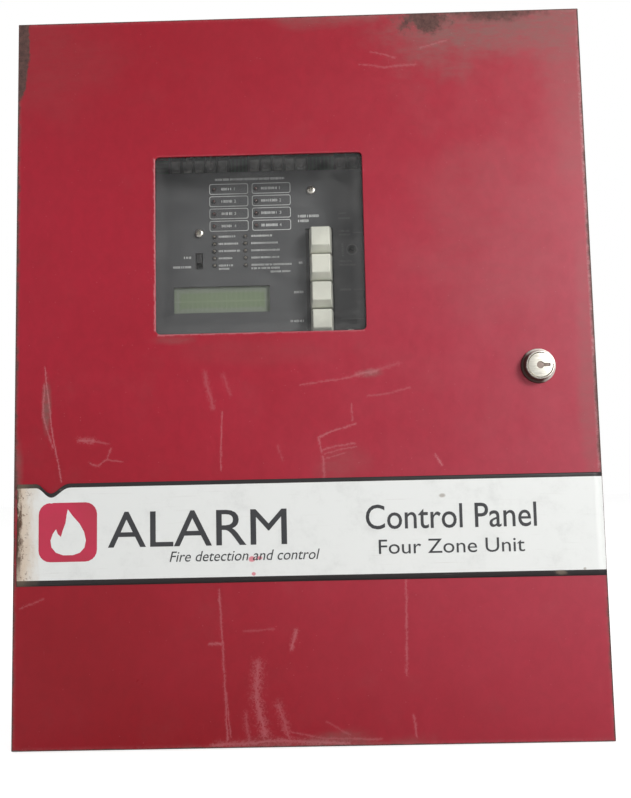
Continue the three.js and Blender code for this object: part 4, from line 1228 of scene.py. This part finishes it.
def plate_legend():
    """Printing on the plate: a box with a number for each zone and output, and lines of small marks."""
    rng = random.Random(11)
    front = PLATE_FRONT
    bm = bmesh.new()
    for left, right in ZONE_COLUMNS:
        middle = (left + right) / 2
        for number, z in enumerate(ZONE_ROWS, start=1):
            outer = rounded_outline(middle, z, right - left, 8.0, 1.6)
            inner = rounded_outline(middle, z, right - left - 0.9, 7.1, 1.2)
            add_ring(bm, outer, inner, front - PRINT, front)
            wide = 8 if left < -50 else 12
            greeked(bm, rng, (middle - wide / 2 - 1.5, middle + wide / 2 - 1.5), z, 2.0)
            digit = middle + wide / 2
            across = 0.35 if number == 1 else 1.3
            words(str(number), (digit, digit + across), (z - 1.1, z + 1.1), front, 0, into=bm)
    greeked(bm, rng, (-64.4, -12.4), 146.0, 1.8)
    for z, wide in zip(STATUS_ROWS, (13, 15, 16, 10, 11)):
        greeked(bm, rng, (STATUS_LEFT, STATUS_LEFT + wide), z, SMALL_PRINT)
    greeked(bm, rng, (STATUS_LEFT, -54), STATUS_ROWS[-1] - 2.5, SMALL_PRINT)
    for z, wide in zip(STATUS_ROWS, (16, 20, 21, 21, 30)):
        greeked(bm, rng, (STATUS_RIGHT, STATUS_RIGHT + wide), z, SMALL_PRINT)
    for left, right, z, height in SINGLE_LINES:
        greeked(bm, rng, (left, right), z, height)
    for z, left, right in ((81.5, -3, 1), (59.5, -7, 1.5), (38, -10, 1.5)):
        greeked(bm, rng, (left, right - 1.6), z, 1.8)
    for z, left in ((87.3, -88), (80.2, -96)):
        greeked(bm, rng, (left, -82.5), z, 1.8)
    finish_mesh("plate_legend", bm, WHITE_INK, "cabinet")
    bm = bmesh.new()
    for z, wide in DIM_LINES:
        greeked(bm, rng, (DIM_LINES_LEFT, DIM_LINES_LEFT + wide), z, SMALL_PRINT)
    for z in KEY_RULES:
        add_block(bm, (37, 60), (front - PRINT, front), around(z, 0.4))
    outer = rounded_outline(*SOUNDER_CENTRE, 8.4, 8.4, 4.15)
    inner = rounded_outline(*SOUNDER_CENTRE, 7.4, 7.4, 3.65)
    add_ring(bm, outer, inner, front - PRINT, front)
    for i in range(6):
        add_block(bm, around(29.4, 1.5), (front - PRINT, front), around(94.5 - 1.7 * i, 1.0))
    finish_mesh("plate_legend_dim", bm, DIM_INK, "cabinet")


def cross_screw(bm, x, z, front, radius, height, material=0):
    """A pan head with a cross-shaped recess, looking along -Y."""
    y = front
    profile = [(0, y), (radius, y), (radius, y - height * 0.3), (radius * 0.88, y - height * 0.72),
               (radius * 0.62, y - height * 0.95), (radius * 0.5, y - height)]
    faces = add_turned(bm, profile, (x, 0, z), material=material)
    edge = [v for v in {v for f in faces for v in f.verts} if abs(v.co.y - (y - height)) < 1e-6]
    edge.sort(key=lambda v: math.atan2(v.co.z - z, v.co.x - x))
    arm, half, painted_shade = radius * 0.44, radius * 0.11, y - height * 0.35
    cross = [(arm, -half), (arm, half), (half, half), (half, arm), (-half, arm), (-half, half), (-arm, half),
             (-arm, -half), (-half, -half), (-half, -arm), (half, -arm), (half, -half)]
    rim = [bm.verts.new((x + px, y - height, z + pz)) for px, pz in cross]
    floor_points = [bm.verts.new((x + px * 0.8, painted_shade, z + pz * 0.8)) for px, pz in cross]
    bmesh.ops.bridge_loops(bm, edges=loop_edges(bm, edge) + loop_edges(bm, rim))
    for i in range(len(cross)):
        j = (i + 1) % len(cross)
        bm.faces.new((rim[i], rim[j], floor_points[j], floor_points[i])).material_index = material
    bm.faces.new(floor_points).material_index = material


def loop_edges(bm, verts):
    """The edges of a closed loop of vertices, made where they are missing."""
    edges = []
    for first, second in zip(verts, verts[1:] + verts[:1]):
        edges.append(bm.edges.get((first, second)) or bm.edges.new((first, second)))
    return edges


def plate_screws():
    """The four screws that hold the display plate."""
    for number in range(1, 5):
        node = f"faceplate_screw_{number}"
        x, z = middle_of(*box_mm(node))
        bm = bmesh.new()
        cross_screw(bm, x, z, PLATE_FRONT, 3.3, 2.1)
        shank = [(0, PLATE_FRONT + 1.2), (1.6, PLATE_FRONT + 1.2), (1.6, PLATE_FRONT + 0.01)]
        add_turned(bm, shank, (x, 0, z), sides=12)
        finish_mesh(f"plate_screw_{number}", bm, NICKEL, "cabinet", 35, [node])


def lamp_domes():
    """A dome for every lamp, in the colour of its kind."""
    rows = {"zone": (-65.3, ZONE_ROWS, LAMP_RED), "output": (-33.9, ZONE_ROWS, LAMP_RED),
            "power": (-65.3, STATUS_ROWS, LAMP_AMBER), "status": (-42.3, STATUS_ROWS, LAMP_AMBER)}
    bm_by_material = {}
    for x, heights, material in rows.values():
        bm = bm_by_material.setdefault(material.name, (bmesh.new(), material))[0]
        for z in heights:
            y = PLATE_FRONT
            profile = [(1.45, y + 3.2), (1.45, y + 0.2)]
            profile += [(1.45 * math.cos(a), y + 0.2 - 1.4 * math.sin(a)) for a in (0.35, 0.7, 1.05, 1.35)]
            add_turned(bm, profile + [(0, y - 1.2)], (x, 0, z), sides=16)
    for name, (bm, material) in bm_by_material.items():
        finish_mesh(name + "_domes", bm, material, "cabinet")


def display_pieces():
    """The display plate with its keys, switch, lamps and display, and the boards' green."""
    paint("faceplate", PLATE_PAINT)
    for number in range(1, 5):
        paint(f"key_{number}", KEY_PLASTIC)
        soften(f"key_{number}", 0.7, 3)
    for node in ("lcd_bezel", "key_switch_block", "program_switch_body", "program_switch_lever",
                 "piezo_sounder", "led_block_left", "led_block_outputs", "led_block_status"):
        paint(node, BLACK_PLASTIC)
    soften("program_switch_lever", 0.3)
    paint("lcd_glass", DISPLAY)
    for node in ("display_board", "lcd_board", "main_board"):
        paint(node, GREEN_BOARD)
    plate_legend()
    plate_screws()
    lamp_domes()


# ------------------------------------------------------------------------------------ leads
def smooth_path(points, steps=10):
    """A centripetal Catmull-Rom curve through the points."""
    knots = [Vector(p) for p in points]
    knots = [knots[0] * 2 - knots[1]] + knots + [knots[-1] * 2 - knots[-2]]
    path = []
    for p0, p1, p2, p3 in zip(knots, knots[1:], knots[2:], knots[3:]):
        t1 = math.sqrt((p1 - p0).length)
        t2 = t1 + math.sqrt((p2 - p1).length)
        t3 = t2 + math.sqrt((p3 - p2).length)
        for i in range(steps):
            t = t1 + (t2 - t1) * i / steps
            a1 = p0.lerp(p1, t / t1)
            a2 = p1.lerp(p2, (t - t1) / (t2 - t1))
            a3 = p2.lerp(p3, (t - t2) / (t3 - t2))
            path.append(a1.lerp(a2, t / t2).lerp(a2.lerp(a3, (t - t1) / (t3 - t1)), (t - t1) / (t2 - t1)))
    return path + [knots[-2]]


def add_tube(bm, path, radius, sides=14, material=0):
    """A round tube along a path, closed at both ends."""
    side = Vector((0.31, 0.77, 0.55))
    rings = []
    for i, at in enumerate(path):
        along = (path[min(i + 1, len(path) - 1)] - path[max(i - 1, 0)]).normalized()
        side = (side - along * side.dot(along)).normalized()
        up = along.cross(side)
        angles = (2 * math.pi * k / sides for k in range(sides))
        rings.append([bm.verts.new(at + (side * math.cos(a) + up * math.sin(a)) * radius) for a in angles])
    faces = [bm.faces.new(rings[0]), bm.faces.new(rings[-1])]
    for first, second in zip(rings, rings[1:]):
        for k in range(sides):
            j = (k + 1) % sides
            faces.append(bm.faces.new((first[k], first[j], second[j], second[k])))
    for face in faces:
        face.material_index = material


WIRE = 1.5  # radius over the insulation
BARE_WIRE = WIRE * 0.55
BARED_POINTS = 7  # of a lead's path, at an end that goes into a clamp
BLADE_Y = -35.5
CLAMP_Y = -23.4
BATTERY_ROUTES = {
    "battery_link": [(-16.5, BLADE_Y, -147.2), (-16.5, BLADE_Y, -142.2), (-9, BLADE_Y, -134.2),
                     (0, -37.5, -132.2), (9, BLADE_Y, -134.2), (16.5, BLADE_Y, -142.2),
                     (16.5, BLADE_Y, -147.2)],
    "battery_lead_red": [(144.5, BLADE_Y, -147.2), (143.5, BLADE_Y, -133.2), (118, -41.5, -112),
                         (62, -52, -84), (24, -44, -52), (13.75, -33, -34), (13.75, CLAMP_Y, -24.5),
                         (13.75, CLAMP_Y, -16)],
    "battery_lead_black": [(-144.5, BLADE_Y, -147.2), (-143.5, BLADE_Y, -135.2), (-128, -76, -124),
                           (-66, -76, -112), (-34, -60, -72), (-14.75, -36, -36), (-14.75, CLAMP_Y, -24.5),
                           (-14.75, CLAMP_Y, -16)],
}


def transformer_route(number, gutter, screw, out):
    """From the top of the winding, up the gutter at the left, and down into the upper left strip."""
    return [(-118 + 12 * number, -54, -65.2), (-118 + 11 * number, -54, -52),
            (-132 + 4 * number, -52, -36 + 4 * number), (-152, -47 - 7 * number, -24 + 4 * number),
            (gutter, out - 8, 6), (gutter, out - 8, 90), (gutter + 2, out - 8, 168),
            (gutter + 22, out - 10, 196 - 4 * number), (screw - 20, out - 12, 204 - 4 * number),
            (screw - 3, out - 10, 199 - 3 * number), (screw, CLAMP_Y - 2, 188), (screw, CLAMP_Y, 178)]


def add_sleeve(bm, place):
    """A push-on sleeve round a battery's blade, under the end of a wire."""
    x, y, z = place
    add_block(bm, around(x, 8.4), around(y, 4.2), (z - 4.5, z + 5.5), 1.2)
    add_turned(bm, [(0, z + 5), (2.4, z + 5), (2.1, z + 9), (0, z + 9)], (x, y, 0), "z", 16)


def leads():
    """The batteries' and the transformer's leads, smooth, with sleeves and bared ends."""
    colours = {"battery_link": (BLUE_WIRE, "blue_insulation"),
               "battery_lead_red": (RED_WIRE, "red_insulation"),
               "battery_lead_black": (BLACK_WIRE, "black_insulation")}
    for node, route in BATTERY_ROUTES.items():
        material, slot = colours[node]
        path = smooth_path(route)
        bm = bmesh.new()
        bared = 0 if node == "battery_link" else BARED_POINTS
        add_tube(bm, path[:len(path) - bared], WIRE)
        if bared:
            add_tube(bm, path[-bared - 1:], BARE_WIRE, material=1)
        else:
            add_sleeve(bm, route[-1])
        add_sleeve(bm, route[0])
        finish_mesh(node + "_smooth", bm, [material, COPPER], "cabinet", 50, [node])
    for number, (gutter, screw, out, material, slot) in enumerate((
            (-169, -93.5, -32, RED_WIRE, "red_insulation"),
            (-174, -74.5, -40, BLUE_WIRE, "blue_insulation"))):
        path = smooth_path(transformer_route(number, gutter, screw, out))
        bm = bmesh.new()
        add_tube(bm, path[:-BARED_POINTS], WIRE)
        add_tube(bm, path[-BARED_POINTS - 1:], BARE_WIRE, material=1)
        add_tube(bm, path[:BARED_POINTS], WIRE + 0.5, material=2)
        node = f"transformer_lead_{number + 1}"
        finish_mesh(node + "_smooth", bm, [material, COPPER, WHITE_PLASTIC], "cabinet", 50, [node])


# ------------------------------------------------------------------------------------ circuit board
STRIPS = ("terminal_strip_upper_left", "terminal_strip_upper_middle", "terminal_strip_upper_right",
          "terminal_strip_lower")
POLE_PITCH = 9.5
PIN_PITCH = 2.54


def terminal_screws():
    """A screw and a clamp in every pole of the terminal strips, with small marks printed beside them."""
    rng = random.Random(5)
    bm = bmesh.new()
    marks = bmesh.new()
    for node in STRIPS:
        paint(node, BLACK_PLASTIC)
        soften(node, 0.25)
        low, high = box_mm(node)
        poles = round((high.x - low.x) / POLE_PITCH)
        middle, z = middle_of(low, high)
        floor_level = low.y + 5
        beside = low.z - 3.4 if z > 0 else high.z + 3.4
        for pole in range(poles):
            x = middle + (pole - (poles - 1) / 2) * POLE_PITCH
            add_block(bm, around(x, 7.4), (floor_level - 0.9, floor_level), around(z, 9.5), 0.25)
            cross_screw(bm, x, z - 0.5, floor_level - 0.9, 3.1, 2.2)
            greeked(marks, rng, around(x, 4.5), beside, 1.6, front=BOARD_FRONT)
        line = around(beside - 2.2, 0.25)
        add_block(marks, (low.x - 1.2, high.x + 1.2), (BOARD_FRONT - 0.05, BOARD_FRONT), line)
    finish_mesh("terminal_screws", bm, BRIGHT_ZINC, "cabinet", 35)
    finish_mesh("board_marks", marks, WHITE_INK, "cabinet")


def add_chip(bm, x, z, length, pins, upright=False):
    """A dual in-line package on legs: body in material 0, legs in 1, a dimple at one end."""
    body = BOARD_FRONT - 0.9, BOARD_FRONT - 4.4
    sizes = (6.4, length) if upright else (length, 6.4)
    add_block(bm, around(x, sizes[0]), (body[1], body[0]), around(z, sizes[1]), 0.35)
    for i in range(pins):
        along = (i - (pins - 1) / 2) * PIN_PITCH
        for side in (-3.7, 3.7):
            px, pz = (x + side, z + along) if upright else (x + along, z + side)
            wide, tall = (0.5, 1.1) if upright else (1.1, 0.5)
            leg = BOARD_FRONT - 2.6, BOARD_FRONT - 0.01
            add_block(bm, around(px, wide), leg, around(pz, tall), material=1)


def add_can(bm, x, z, radius, height, sleeve=0, top=1):
    """A small upright electrolytic capacitor."""
    y = BOARD_FRONT
    lid = y - height
    foot = [(0, y - 0.3), (radius, y - 0.3), (radius, y - 1.2), (radius - 0.3, y - 1.6), (radius, y - 2)]
    side = [(radius, lid + 0.4), (radius - 0.4, lid)]
    add_turned(bm, foot + side, (x, 0, z), sides=28, material=sleeve)
    cap = [(radius - 0.4, lid), (radius - 0.7, lid + 0.2), (0, lid + 0.2)]
    add_turned(bm, cap, (x, 0, z), sides=28, material=top)


def add_axial(bm, x, z, length, radius, body, legs, upright=False):
    """A resistor or diode lying on the board, with its two legs."""
    y = BOARD_FRONT - radius - 0.6
    axis = "z" if upright else "x"
    half = length / 2
    reach = half + 2.2
    add_turned(bm, [(0, -half), (radius, -half + 0.2), (radius, -half + 1.3), (radius * 0.82, -half + 1.8),
                    (radius * 0.82, half - 1.8), (radius, half - 1.3), (radius, half - 0.2), (0, half)],
               (x, y, z), axis, 14, body)
    add_turned(bm, [(0, -reach), (0.3, -reach), (0.3, reach), (0, reach)], (x, y, z), axis, 8, legs)
    for side in (-reach, reach):
        px, pz = (x, z + side) if upright else (x + side, z)
        add_turned(bm, [(0, y - 0.3), (0.3, y - 0.3), (0.3, BOARD_FRONT - 0.3), (1.0, BOARD_FRONT - 0.02),
                        (0, BOARD_FRONT - 0.02)], (px, 0, pz), "y", 8, legs)


# The finishes of the small parts, by their number on the mesh.
BOARD_FINISHES = (BLACK_PLASTIC, NICKEL, SLEEVE, RESISTOR, CERAMIC, BLUE_BODY)
BODY_BLACK, LEGS, CAN_SLEEVE, RESISTOR_BODY, DISC, FILM_BODY = range(6)
# Place (x, z), length, number of pins a side, and whether the chip stands upright.
CHIPS = ((60, -12, 20, 8, False), (92, -12, 20, 8, False), (124, -14, 24, 9, False), (90.5, 22, 19, 7, True),
         (-80, -12, 20, 8, False), (94, 132, 19, 7, True))
# Place (x, z), radius and height.
CANS = ((142, 22, 4, 12), (142, 34, 4, 12), (142, 46, 3.2, 9), (98, 46, 3.2, 9), (-58, -14, 4, 11),
        (-143, 52, 5, 15), (-143, 66, 5, 15))
DISCS_X = -138


def board_parts():
    """Chips, capacitors, resistors and plugs in the open stretches of the main board."""
    bm = bmesh.new()
    for x, z, length, pins, upright in CHIPS:
        add_chip(bm, x, z, length, pins, upright)
    for x, z, radius, height in CANS:
        add_can(bm, x, z, radius, height, CAN_SLEEVE, LEGS)
    for i in range(3):
        add_axial(bm, 92, -1.5 + 3.4 * i, 6.5, 1.1, RESISTOR_BODY, LEGS)
        add_axial(bm, 92, 60.2 + 3.4 * i, 6.5, 1.1, RESISTOR_BODY, LEGS)
    for i in range(6):
        add_axial(bm, -103 + 4 * i, -12, 6.5, 1.1, RESISTOR_BODY, LEGS, upright=True)
    for i in range(5):
        add_axial(bm, -44 + 8.6 * i, 159.5, 6, 1.1, RESISTOR_BODY, LEGS)
    for i in range(8):
        add_axial(bm, 30 + 10 * i, 159.5, 6, 1.1, RESISTOR_BODY if i % 3 else BODY_BLACK, LEGS)
    for i in range(5):
        z = 84 + 11.5 * i
        lens = [(0, -1.7), (3.4, -1.7), (4.4, -1.1), (4.7, 0), (4.4, 1.1), (3.4, 1.7), (0, 1.7)]
        add_turned(bm, lens, (DISCS_X, BOARD_FRONT - 6.6, z), "z", 24, DISC)
        for side in (-2.5, 2.5):
            leg = [(0, BOARD_FRONT - 3), (0.35, BOARD_FRONT - 3), (0.35, BOARD_FRONT), (0, BOARD_FRONT)]
            add_turned(bm, leg, (DISCS_X + side, 0, z), "y", 8, LEGS)
    for x, z in ((130.5, 5), (107, 5)):
        body = BOARD_FRONT - 9, BOARD_FRONT - 0.2
        add_block(bm, around(x, 13), body, around(z, 5.5), 0.8, material=FILM_BODY)
    for x, z, count in ((-112, 160, 8), (143, 166, 3)):
        base = BOARD_FRONT - 3, BOARD_FRONT - 0.1
        add_block(bm, around(x, count * PIN_PITCH + 1), base, around(z, 2.5), 0.3)
        for i in range(count):
            pin = x + (i - (count - 1) / 2) * PIN_PITCH
            post = BOARD_FRONT - 9, BOARD_FRONT - 2
            add_block(bm, around(pin, 0.64), post, around(z, 0.64), material=LEGS)
    finish_mesh("board_parts", bm, BOARD_FINISHES, "cabinet", 35)


RELAY_PITCH = 22.5


def relays():
    """The relay's case and a second one beside it, each with a paper label."""
    paint("relay", GREY_PLASTIC)
    soften("relay", 0.9, 3)
    low, high = box_mm("relay")
    x, z = middle_of(low, high)
    bm = bmesh.new()
    add_block(bm, (low.x + RELAY_PITCH, high.x + RELAY_PITCH), (low.y, high.y - 0.1), (low.z, high.z), 0.9, 3)
    for shift in (0, RELAY_PITCH):
        middle = x + shift
        add_block(bm, around(middle, 12), (low.y - 0.12, low.y + 0.1), around(z + 3, 14), material=1)
        add_block(bm, around(middle, 9), (low.y - 0.16, low.y), around(z + 6, 1.2), material=2)
        add_block(bm, around(middle, 7), (low.y - 0.16, low.y), around(z + 2.6, 0.9), material=2)
    finish_mesh("second_relay_and_labels", bm, [GREY_PLASTIC, PAPER, DARK_INK], "cabinet",
                35)


def filter_capacitor():
    """A sleeved can with a scored aluminium top and a pale stripe for its polarity."""
    low, high = box_mm("filter_capacitor")
    x, z = middle_of(low, high)
    radius, top, foot = (high.x - low.x) / 2, low.y, high.y
    bm = bmesh.new()
    faces = add_turned(bm, [(0, foot), (radius - 0.4, foot), (radius, foot - 1), (radius, foot - 3.2),
                            (radius - 0.8, foot - 4), (radius, foot - 4.8), (radius, top + 1),
                            (radius - 0.9, top + 0.1), (radius - 1.6, top)], (x, 0, z), sides=64)
    for face in faces:
        at = face.calc_center_median()
        if abs(math.atan2(at.z - z, at.x - x) - 2.4) < 0.32 and at.y < foot - 5:
            face.material_index = 2
    lid = [(radius - 1.6, top), (radius - 1.8, top + 0.5), (0, top + 0.5)]
    add_turned(bm, lid, (x, 0, z), sides=64, material=1)
    for turn in (0, 1):
        size = (12, 0.7) if turn else (0.7, 12)
        add_block(bm, around(x, size[0]), (top + 0.35, top + 0.6), around(z, size[1]), material=3)
    finish_mesh("filter_capacitor_can", bm, [SLEEVE, ALUMINIUM, GREY_PLASTIC, BLACK_PLASTIC], "cabinet",
                30, ["filter_capacitor"])


def fuses():
    """Two glass fuses in spring clips on a moulded foot."""
    low, high = box_mm("fuse_block")
    x, z = middle_of(low, high)
    y = BOARD_FRONT
    bm = bmesh.new()
    add_block(bm, (low.x, high.x), (y - 4, y - 0.05), (low.z, high.z), 0.8)
    for side in (-6.5, 6.5):
        centre = (x + side, y - 9, z)
        add_turned(bm, [(2.6, -11), (2.9, -11), (2.9, 11), (2.6, 11), (2.6, -11)], centre, "z", 28, 2)
        add_turned(bm, [(0, -13), (0.25, -13), (0.25, 13), (0, 13)], centre, "z", 8, 1)
        for end in (-1, 1):
            a, b = sorted((end * 10, end * 16))
            cap = [(0, a), (2.9, a), (3.05, a + 0.3), (3.05, b - 0.3), (2.9, b), (0, b)]
            add_turned(bm, cap, centre, "z", 28, 1)
            clip = around(z + end * 12.8, 4.6)
            add_block(bm, around(x + side, 6.6), (y - 5, y - 4), clip, material=1)
            for edge in (-3.4, 3.4):
                add_block(bm, around(x + side + edge, 0.5), (y - 11, y - 4.2), clip, material=1)
    finish_mesh("fuse_block_and_fuses", bm, [BLACK_PLASTIC, NICKEL, GLASS_TUBE], "cabinet",
                35, ["fuse_block"])


def ribbon_plugs():
    """The two socket strips that hold the ribbon's ends."""
    low, high = box_mm("ribbon_cable")
    bm = bmesh.new()
    for front, back in ((low.y + 0.05, low.y + 5.5), (high.y - 5.5, high.y - 0.05)):
        add_block(bm, (low.x - 3, high.x + 3), (front, back), (high.z - 1.5, high.z + 4), 0.5)
    finish_mesh("ribbon_plugs", bm, BLACK_PLASTIC, "cabinet")


def round_posts():
    """Standoffs and posts between the boards, with hexagonal shanks, round necks and screw heads."""
    for number in range(1, 5):
        node = f"board_standoff_{number}"
        low, high = box_mm(node)
        x, z = middle_of(low, high)
        bm = bmesh.new()
        add_turned(bm, [(0, high.y), (3.6, high.y), (3.6, BOARD_HIGH.y + 0.3), (1.7, BOARD_HIGH.y + 0.3),
                        (1.7, BOARD_FRONT - 0.02), (0, BOARD_FRONT - 0.02)], (x, 0, z), sides=6)
        cross_screw(bm, x, z, BOARD_FRONT - 0.02, 3.4, 2.3)
        finish_mesh(f"board_screw_{number}", bm, NICKEL, "cabinet", 30, [node])
        paint(f"faceplate_post_{number}", NICKEL)
        soften(f"faceplate_post_{number}", 0.25)


# ------------------------------------------------------------------------------------ power
def transformer():
    """The core and the coil, with the coil's cheeks, a rating label, and bolts through the core."""
    paint("transformer_core", LAMINATIONS)
    soften("transformer_core", 0.35)
    paint("transformer_coil", COIL_TAPE)
    soften("transformer_coil", 2.2, 4)
    low, high = box_mm("transformer_coil")
    front = box_mm("transformer_core")[0].y
    x, z = middle_of(low, high)
    bm = bmesh.new()
    for edge, away in ((low.z, 1), (high.z, -1)):
        a, b = sorted((edge - 0.15 * away, edge + 1.3 * away))
        add_block(bm, (low.x - 0.4, high.x + 0.4), (low.y - 0.9, front - 0.1), (a, b), 0.4)
    add_block(bm, around(x, 26), (low.y - 0.15, low.y + 0.2), around(z, 17), material=1)
    rng = random.Random(3)
    for row in range(4):
        line = (x - 10, x - 10 + rng.uniform(9, 18))
        greeked(bm, rng, line, z + 5.4 - 3.6 * row, 1.4, 2, front=low.y - 0.14)
    washer = [(0, 0), (3.4, 0), (3.4, -0.7), (0, -0.7)]
    nut = [(0, -0.7), (2.7, -0.7), (2.7, -2.9), (2.3, -3.2), (0, -3.2)]
    for dx in (-31.5, 31.5):
        for dz in (-25.5, 25.5):
            corner = (x + dx, front, z + dz)
            add_turned(bm, washer, corner, sides=24, material=3)
            add_turned(bm, nut, corner, sides=6, material=3)
    for dx in (-42.5, 42.5):
        for dz in (10, -10):
            cross_screw(bm, x + dx, z + dz, -3.5, 3.2, 2.1, 3)
    finish_mesh("transformer_fittings", bm, [WHITE_PLASTIC, PAPER, DARK_INK, ZINC], "cabinet",
                35)


def batteries():
    """The cases, with a strip of vents and a plain label on each, and a coloured foot round every blade."""
    for node in ("battery_left", "battery_right"):
        paint(node, BATTERY_CASE)
        soften(node, 1.0, 3)
        low, high = box_mm(node)
        x = (low.x + high.x) / 2
        lid = high.z - 7
        bm = bmesh.new()
        add_block(bm, around(x, 96), (low.y - 0.12, low.y + 0.3), around(low.z + 46, 48))
        for z, tall in ((low.z + 63, 9), (low.z + 26, 4)):
            add_block(bm, around(x, 88), (low.y - 0.18, low.y), around(z, tall), material=1)
        rng = random.Random(8)
        for row in range(5):
            line = (x - 40, x - 40 + rng.uniform(30, 76))
            greeked(bm, rng, line, low.z + 53 - 4.6 * row, 1.8, 2, front=low.y - 0.14)
        finish_mesh(node + "_label", bm, [PAPER, BLUE_BODY, DARK_INK], "cabinet")
        bm = bmesh.new()
        add_block(bm, around(x, 100), around(BLADE_Y, 16), (lid - 0.3, lid + 0.7), 0.3)
        for i in range(6):
            add_block(bm, around(x - 41 + 16.4 * i, 10), around(BLADE_Y, 10), (lid + 0.5, lid + 1.2), 0.3)
        for end in (-64, 64):
            plus = end > 0
            foot, sign = (1, 1) if plus else (0, 3)
            base = lid - 0.3, lid + 1.4
            add_block(bm, around(x + end, 15), around(BLADE_Y, 15), base, 0.5, material=foot)
            add_block(bm, around(x + end, 6.6), around(BLADE_Y, 1.3), (lid, high.z), material=2)
            mark = x + end - math.copysign(3, end)
            raised = lid, lid + 0.5
            add_block(bm, around(mark, 6), around(BLADE_Y - 14, 1.2), raised, material=sign)
            if plus:
                add_block(bm, around(mark, 1.2), around(BLADE_Y - 14, 6), raised, material=sign)
        finishes = [BATTERY_CASE, RED_WIRE, NICKEL, GREY_PLASTIC]
        finish_mesh(node + "_top", bm, finishes, "cabinet")


# ------------------------------------------------------------------------------------ cabinet
HINGE_X, HINGE_Y, HINGE_LENGTH, KNUCKLES = -200, -85.25, 499, 21


def round_hinge():
    """Each knuckle of the continuous hinge, rolled round the pin."""
    pitch = HINGE_LENGTH / KNUCKLES
    for first, body, node in ((0, "cabinet", "hinge_leaf_cabinet"), (1, "door", "hinge_leaf_door")):
        paint(node, ZINC)
        soften(node, 0.2)
        bm = bmesh.new()
        for i in range(first, KNUCKLES, 2):
            low = -HINGE_LENGTH / 2 + i * pitch + 0.25
            high = low + pitch - 0.5
            rolled = [(1.5, low), (2.3, low), (2.5, low + 0.2), (2.5, high - 0.2), (2.3, high), (1.5, high),
                      (1.5, low)]
            add_turned(bm, rolled, (HINGE_X, HINGE_Y, 0), "z", 36)
        finish_mesh(node + "_knuckles", bm, ZINC, body, 30)
    paint("hinge_pin", ZINC)


GROUND_STUD = (150, -62)


def cabinet_pieces():
    """The cabinet's paint, and a grounding stud on its back wall."""
    paint("cabinet_body", CABINET_PAINT)
    soften("cabinet_body", 0.5)
    x, z = GROUND_STUD
    wall = CABINET_HIGH.y - SHEET
    bm = bmesh.new()
    washer = [(0, wall + 0.1), (7, wall + 0.1), (7, wall - 0.4), (5.2, wall - 0.6), (5.2, wall - 1.2),
              (0, wall - 1.2)]
    add_turned(bm, washer, (x, 0, z), sides=32)
    thick = 3
    for start in (wall - 1.2, wall - 5.2):
        nut = [(0, start), (4.2, start), (4.4, start - 0.4), (4.4, start - thick + 0.4), (4.1, start - thick),
               (0, start - thick)]
        add_turned(bm, nut, (x, 0, z), sides=6)
    stud = [(0, wall), (2.4, wall), (2.4, wall - 13), (1.9, wall - 13.6), (0, wall - 13.6)]
    add_turned(bm, stud, (x, 0, z), sides=24)
    finish_mesh("ground_stud", bm, BRASS, "cabinet", 30)


def door_notice():
    """A paper wiring notice on the inside of the door, filled with small marks and a diagram."""
    back = DOOR_FRONT + SHEET
    rng = random.Random(21)
    bm = bmesh.new()
    left, right, low, high = -62, 92, -176, -60
    sheet = rounded_outline((left + right) / 2, (low + high) / 2, right - left, high - low, 3)
    add_slab(bm, sheet, back + 0.12, back)
    front = back + 0.18
    for row in range(9):
        for column in range(2):
            start = left + 8 + 74 * column
            greeked(bm, rng, (start, start + rng.uniform(40, 64)), high - 12 - 4.4 * row, 1.6, 1, front=front)
    for x in range(3):
        for z in range(2):
            across, up = left + 30 + 47 * x, low + 40 - 24 * z
            outer = rounded_outline(across, up, 32, 14, 1)
            inner = rounded_outline(across, up, 31.2, 13.2, 0.8)
            add_ring(bm, outer, inner, front - PRINT, front, 1)
            greeked(bm, rng, (across - 9, across + 9), up, 1.6, 1, front=front)
            if x < 2:
                link = (across + 16, across + 31)
                add_block(bm, link, (front - PRINT, front), around(up, 0.5), material=1)
    finish_mesh("door_notice", bm, [PAPER, DARK_INK], "door")


def inside_pieces():
    """Everything behind the display plate, the hinge and the cabinet itself."""
    terminal_screws()
    board_parts()
    relays()
    filter_capacitor()
    fuses()
    ribbon_plugs()
    round_posts()
    transformer()
    batteries()
    leads()
    round_hinge()
    cabinet_pieces()
    door_notice()
    paint("heat_sink", ALUMINIUM)
    soften("heat_sink", 0.4)
    paint("ribbon_cable", RIBBON)


floor()
door_pieces()
display_pieces()
inside_pieces()
